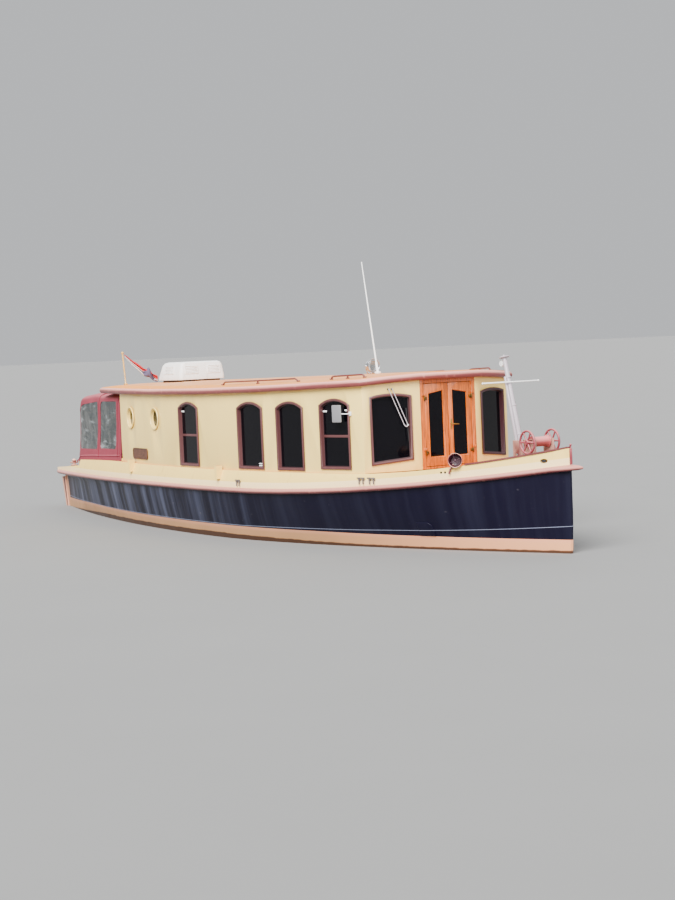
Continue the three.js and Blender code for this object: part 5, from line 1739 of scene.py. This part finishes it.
class HOUSEBOAT_OT_side_fittings(bpy.types.Operator):
    """Adds the blank name boards, cleats, hawse rims and pads along the sides"""

    bl_idname = "houseboat.side_fittings"
    bl_label = "Side fittings"

    def execute(self, context):
        for side, way in SIDES:
            board = assembled(f"blank_board_{side}", [side_board(way)], 35)
            hand_over(painted(board, "board_varnish"), "boat", "varnish")
            fittings = [piece for x, z in CLEATS for piece in side_cleat(x, z, way)]
            rings = [hawse_rim(*row, way) for row in HAWSES]
            cleats = painted(assembled(f"side_cleats_{side}", fittings), "cleat_paint")
            hand_over(cleats, "boat", "grey_paint")
            hawse = joined(f"hawse_rims_{side}", rings)
            hand_over(smooth(hawse, 40), "boat", "chrome")
            pad = assembled(f"bow_pad_{side}", [bow_pad(way)], 35)
            hand_over(painted(pad, "hull_zones"), "boat", "hull_paint")
        return {"FINISHED"}


class HOUSEBOAT_OT_wiper(bpy.types.Operator):
    """Adds the wiper on the starboard front window and the side mirrors"""

    bl_idname = "houseboat.wiper"
    bl_label = "Wiper and mirrors"

    def execute(self, context):
        dark, pale = [], []
        for u, end in ((0.331, 0.508), (0.376, 0.553)):
            post = bar("post", (u, 0.001, 1.937), (u, 0.036, 1.937), 0.0125, 18, 0.01, 0.003)
            dark.append(post)
            shaft = bar("shaft", (u, 0.03, 1.937), (u, 0.046, 1.937), 0.007, 16, soft=0.002)
            pale.append(shaft)
            bend = [(u, 0.043, 1.937), (u + (end - u) * 0.1, 0.045, 1.89), (end, 0.04, 1.497)]
            arm = tube("arm", bend, 0.0042, 10, smooth_path=False)
            pale.append(arm)
        bend = [(0.508, 0.04, 1.5), (0.522, 0.042, 1.474), (0.545, 0.042, 1.47), (0.556, 0.04, 1.5)]
        link = tube("link", bend, 0.0062, 12)
        pale.append(link)
        knuckle = bar("knuckle", (0.555, 0.028, 1.492), (0.555, 0.048, 1.492), 0.0115, 20, soft=0.003)
        pale.append(knuckle)
        (u0, z0), (u1, z1) = (0.541, 1.7), (0.563, 1.292)
        blade = bar("blade", (u0, 0.03, z0), (u1, 0.03, z1), 0.0055, 10, soft=0.001)
        lip = block("lip", (-0.002, 0.012, 1.3), (0.002, 0.03, 1.69))
        reshape(lip, lambda co: Vector((u0 + (u1 - u0) * (z0 - co.z) / (z0 - z1) + co.x, co.y, co.z)))
        dark += [blade, lip]
        pieces = [painted(p, "grey_paint") for p in pale] + [painted(p, "rubber") for p in dark]
        wiper = reshape(joined("window_wiper", pieces), front_wall(-1))
        hand_over(smooth(face_out(wiper), 40), "boat", "grey_paint")
        for side, way in SIDES:
            wall = side_wall(3.26, 3.84, way)
            head = block("head", (0.35, 0.062, 1.552), (0.507, 0.084, 1.766))
            soften(head, 0.02, 4, 30)
            painted(head, "grey_plastic", "mirror_glass")
            pick(head, lambda c, n: n.y < -0.95)
            inset(0.01)
            inset(0.004, -0.003)
            assign(head, 1)
            bend = [(0.606, 0.018, 1.657), (0.604, 0.05, 1.657), (0.56, 0.058, 1.657), (0.44, 0.06, 1.659)]
            arm = tube("arm", bend, 0.0065, 12)
            plate = block("plate", (0.588, 0.001, 1.632), (0.622, 0.02, 1.682))
            soften(plate, 0.004)
            for piece in (arm, plate):
                painted(piece, "white_plastic")
            mirror = joined(f"side_mirror_{side}", [head, arm, plate])
            reshape(mirror, wall)
            hand_over(smooth(face_out(mirror), 40), "boat", "white_plastic")
        return {"FINISHED"}


# Stage


CAMERA_PLACE = (24.19554, -14.67544, 2.47144)
CAMERA_AXES = (  # right, up and ahead
    Vector((0.54882428, 0.83479212, -0.0437496)),
    Vector((-0.01880384, 0.06465122, 0.99773074)),
    Vector((-0.83572623, 0.5467562, -0.05117945)),
)
LIGHTS = (  # name, strength, angle, heading
    ("key", 9.0, 0.7, (-0.42, 0.62, -0.66)),
    ("fill", 2.6, 1.4, (-0.9, 0.1, -0.35)),
    ("back", 0.9, 1.2, (0.7, -0.4, -0.6)),
)


class HOUSEBOAT_OT_stage(bpy.types.Operator):
    """Sets the camera, a plain floor at the waterline and soft studio light"""

    bl_idname = "houseboat.stage"
    bl_label = "Stage"

    def execute(self, context):
        clear_selection()
        bpy.ops.object.camera_add()
        camera = named("camera")
        right, up, ahead = CAMERA_AXES
        turn = Matrix((right, up, -ahead)).transposed().to_4x4()
        camera.matrix_world = Matrix.Translation(CAMERA_PLACE) @ turn
        camera.data.lens = 80
        camera.data.sensor_fit = "VERTICAL"
        camera.data.sensor_height = 36
        camera.data.clip_end = 4000
        context.scene.camera = camera

        clear_selection()
        bpy.ops.mesh.primitive_plane_add(size=2400, location=(0, 0, 0))
        floor = settle(named("floor"))
        edit(floor)
        bpy.ops.mesh.subdivide(number_cuts=4)
        leave_edit()
        f = Finish("floor_paper", 0.85)
        f.colour(f.blend(f.noise(0.6, 3), srgb(126, 126, 125), srgb(130, 130, 129)))
        f.bump(f.noise(20.0, 2), 0.02, 0.002)
        painted(floor, "floor_paper")

        for name, strength, angle, heading in LIGHTS:
            clear_selection()
            bpy.ops.object.light_add(type="SUN", location=(0, 0, 20))
            light = named(f"{name}_light")
            light.data.energy = strength
            light.data.angle = angle
            light.rotation_euler = Vector(heading).to_track_quat("-Z", "Y").to_euler()

        world = bpy.data.worlds.new("studio")
        world.use_nodes = True
        background = world.node_tree.nodes["Background"]
        background.inputs["Color"].default_value = (0.9, 0.92, 0.95, 1)
        background.inputs["Strength"].default_value = 0.7
        context.scene.world = world
        return {"FINISHED"}


STEPS = (
    HOUSEBOAT_OT_stage, HOUSEBOAT_OT_finishes, HOUSEBOAT_OT_shell, HOUSEBOAT_OT_windows,
    HOUSEBOAT_OT_window_bars, HOUSEBOAT_OT_portholes, HOUSEBOAT_OT_front_doors, HOUSEBOAT_OT_aft_door,
    HOUSEBOAT_OT_hood, HOUSEBOAT_OT_flag, HOUSEBOAT_OT_roof_unit, HOUSEBOAT_OT_searchlight,
    HOUSEBOAT_OT_windlass, HOUSEBOAT_OT_cowl, HOUSEBOAT_OT_mast, HOUSEBOAT_OT_side_fittings,
    HOUSEBOAT_OT_wiper,
)


class HOUSEBOAT_PT_panel(bpy.types.Panel):
    """Lists the houseboat's pieces"""

    bl_label = "Houseboat"
    bl_idname = "HOUSEBOAT_PT_panel"
    bl_space_type = "VIEW_3D"
    bl_region_type = "UI"
    bl_category = "Houseboat"

    def draw(self, context):
        for operator in STEPS:
            self.layout.operator(operator.bl_idname)
        for group in (context.scene.houseboat_paint, context.scene.houseboat_sizes):
            for key in group.__annotations__:
                self.layout.prop(group, key)


CLASSES = (HouseboatPaint, HouseboatSizes, *STEPS, HOUSEBOAT_PT_panel)


def register():
    for cls in CLASSES:
        bpy.utils.register_class(cls)
    bpy.types.Scene.houseboat_paint = PointerProperty(type=HouseboatPaint)
    bpy.types.Scene.houseboat_sizes = PointerProperty(type=HouseboatSizes)


def unregister():
    del bpy.types.Scene.houseboat_sizes
    del bpy.types.Scene.houseboat_paint
    for cls in reversed(CLASSES):
        bpy.utils.unregister_class(cls)


def main():
    register()
    for operator in STEPS:
        step = operator.bl_idname.split(".")[1]
        if getattr(bpy.ops.houseboat, step)() != {"FINISHED"}:
            raise RuntimeError(f"the step {step} didn't finish")


if __name__ == "__main__":
    main()
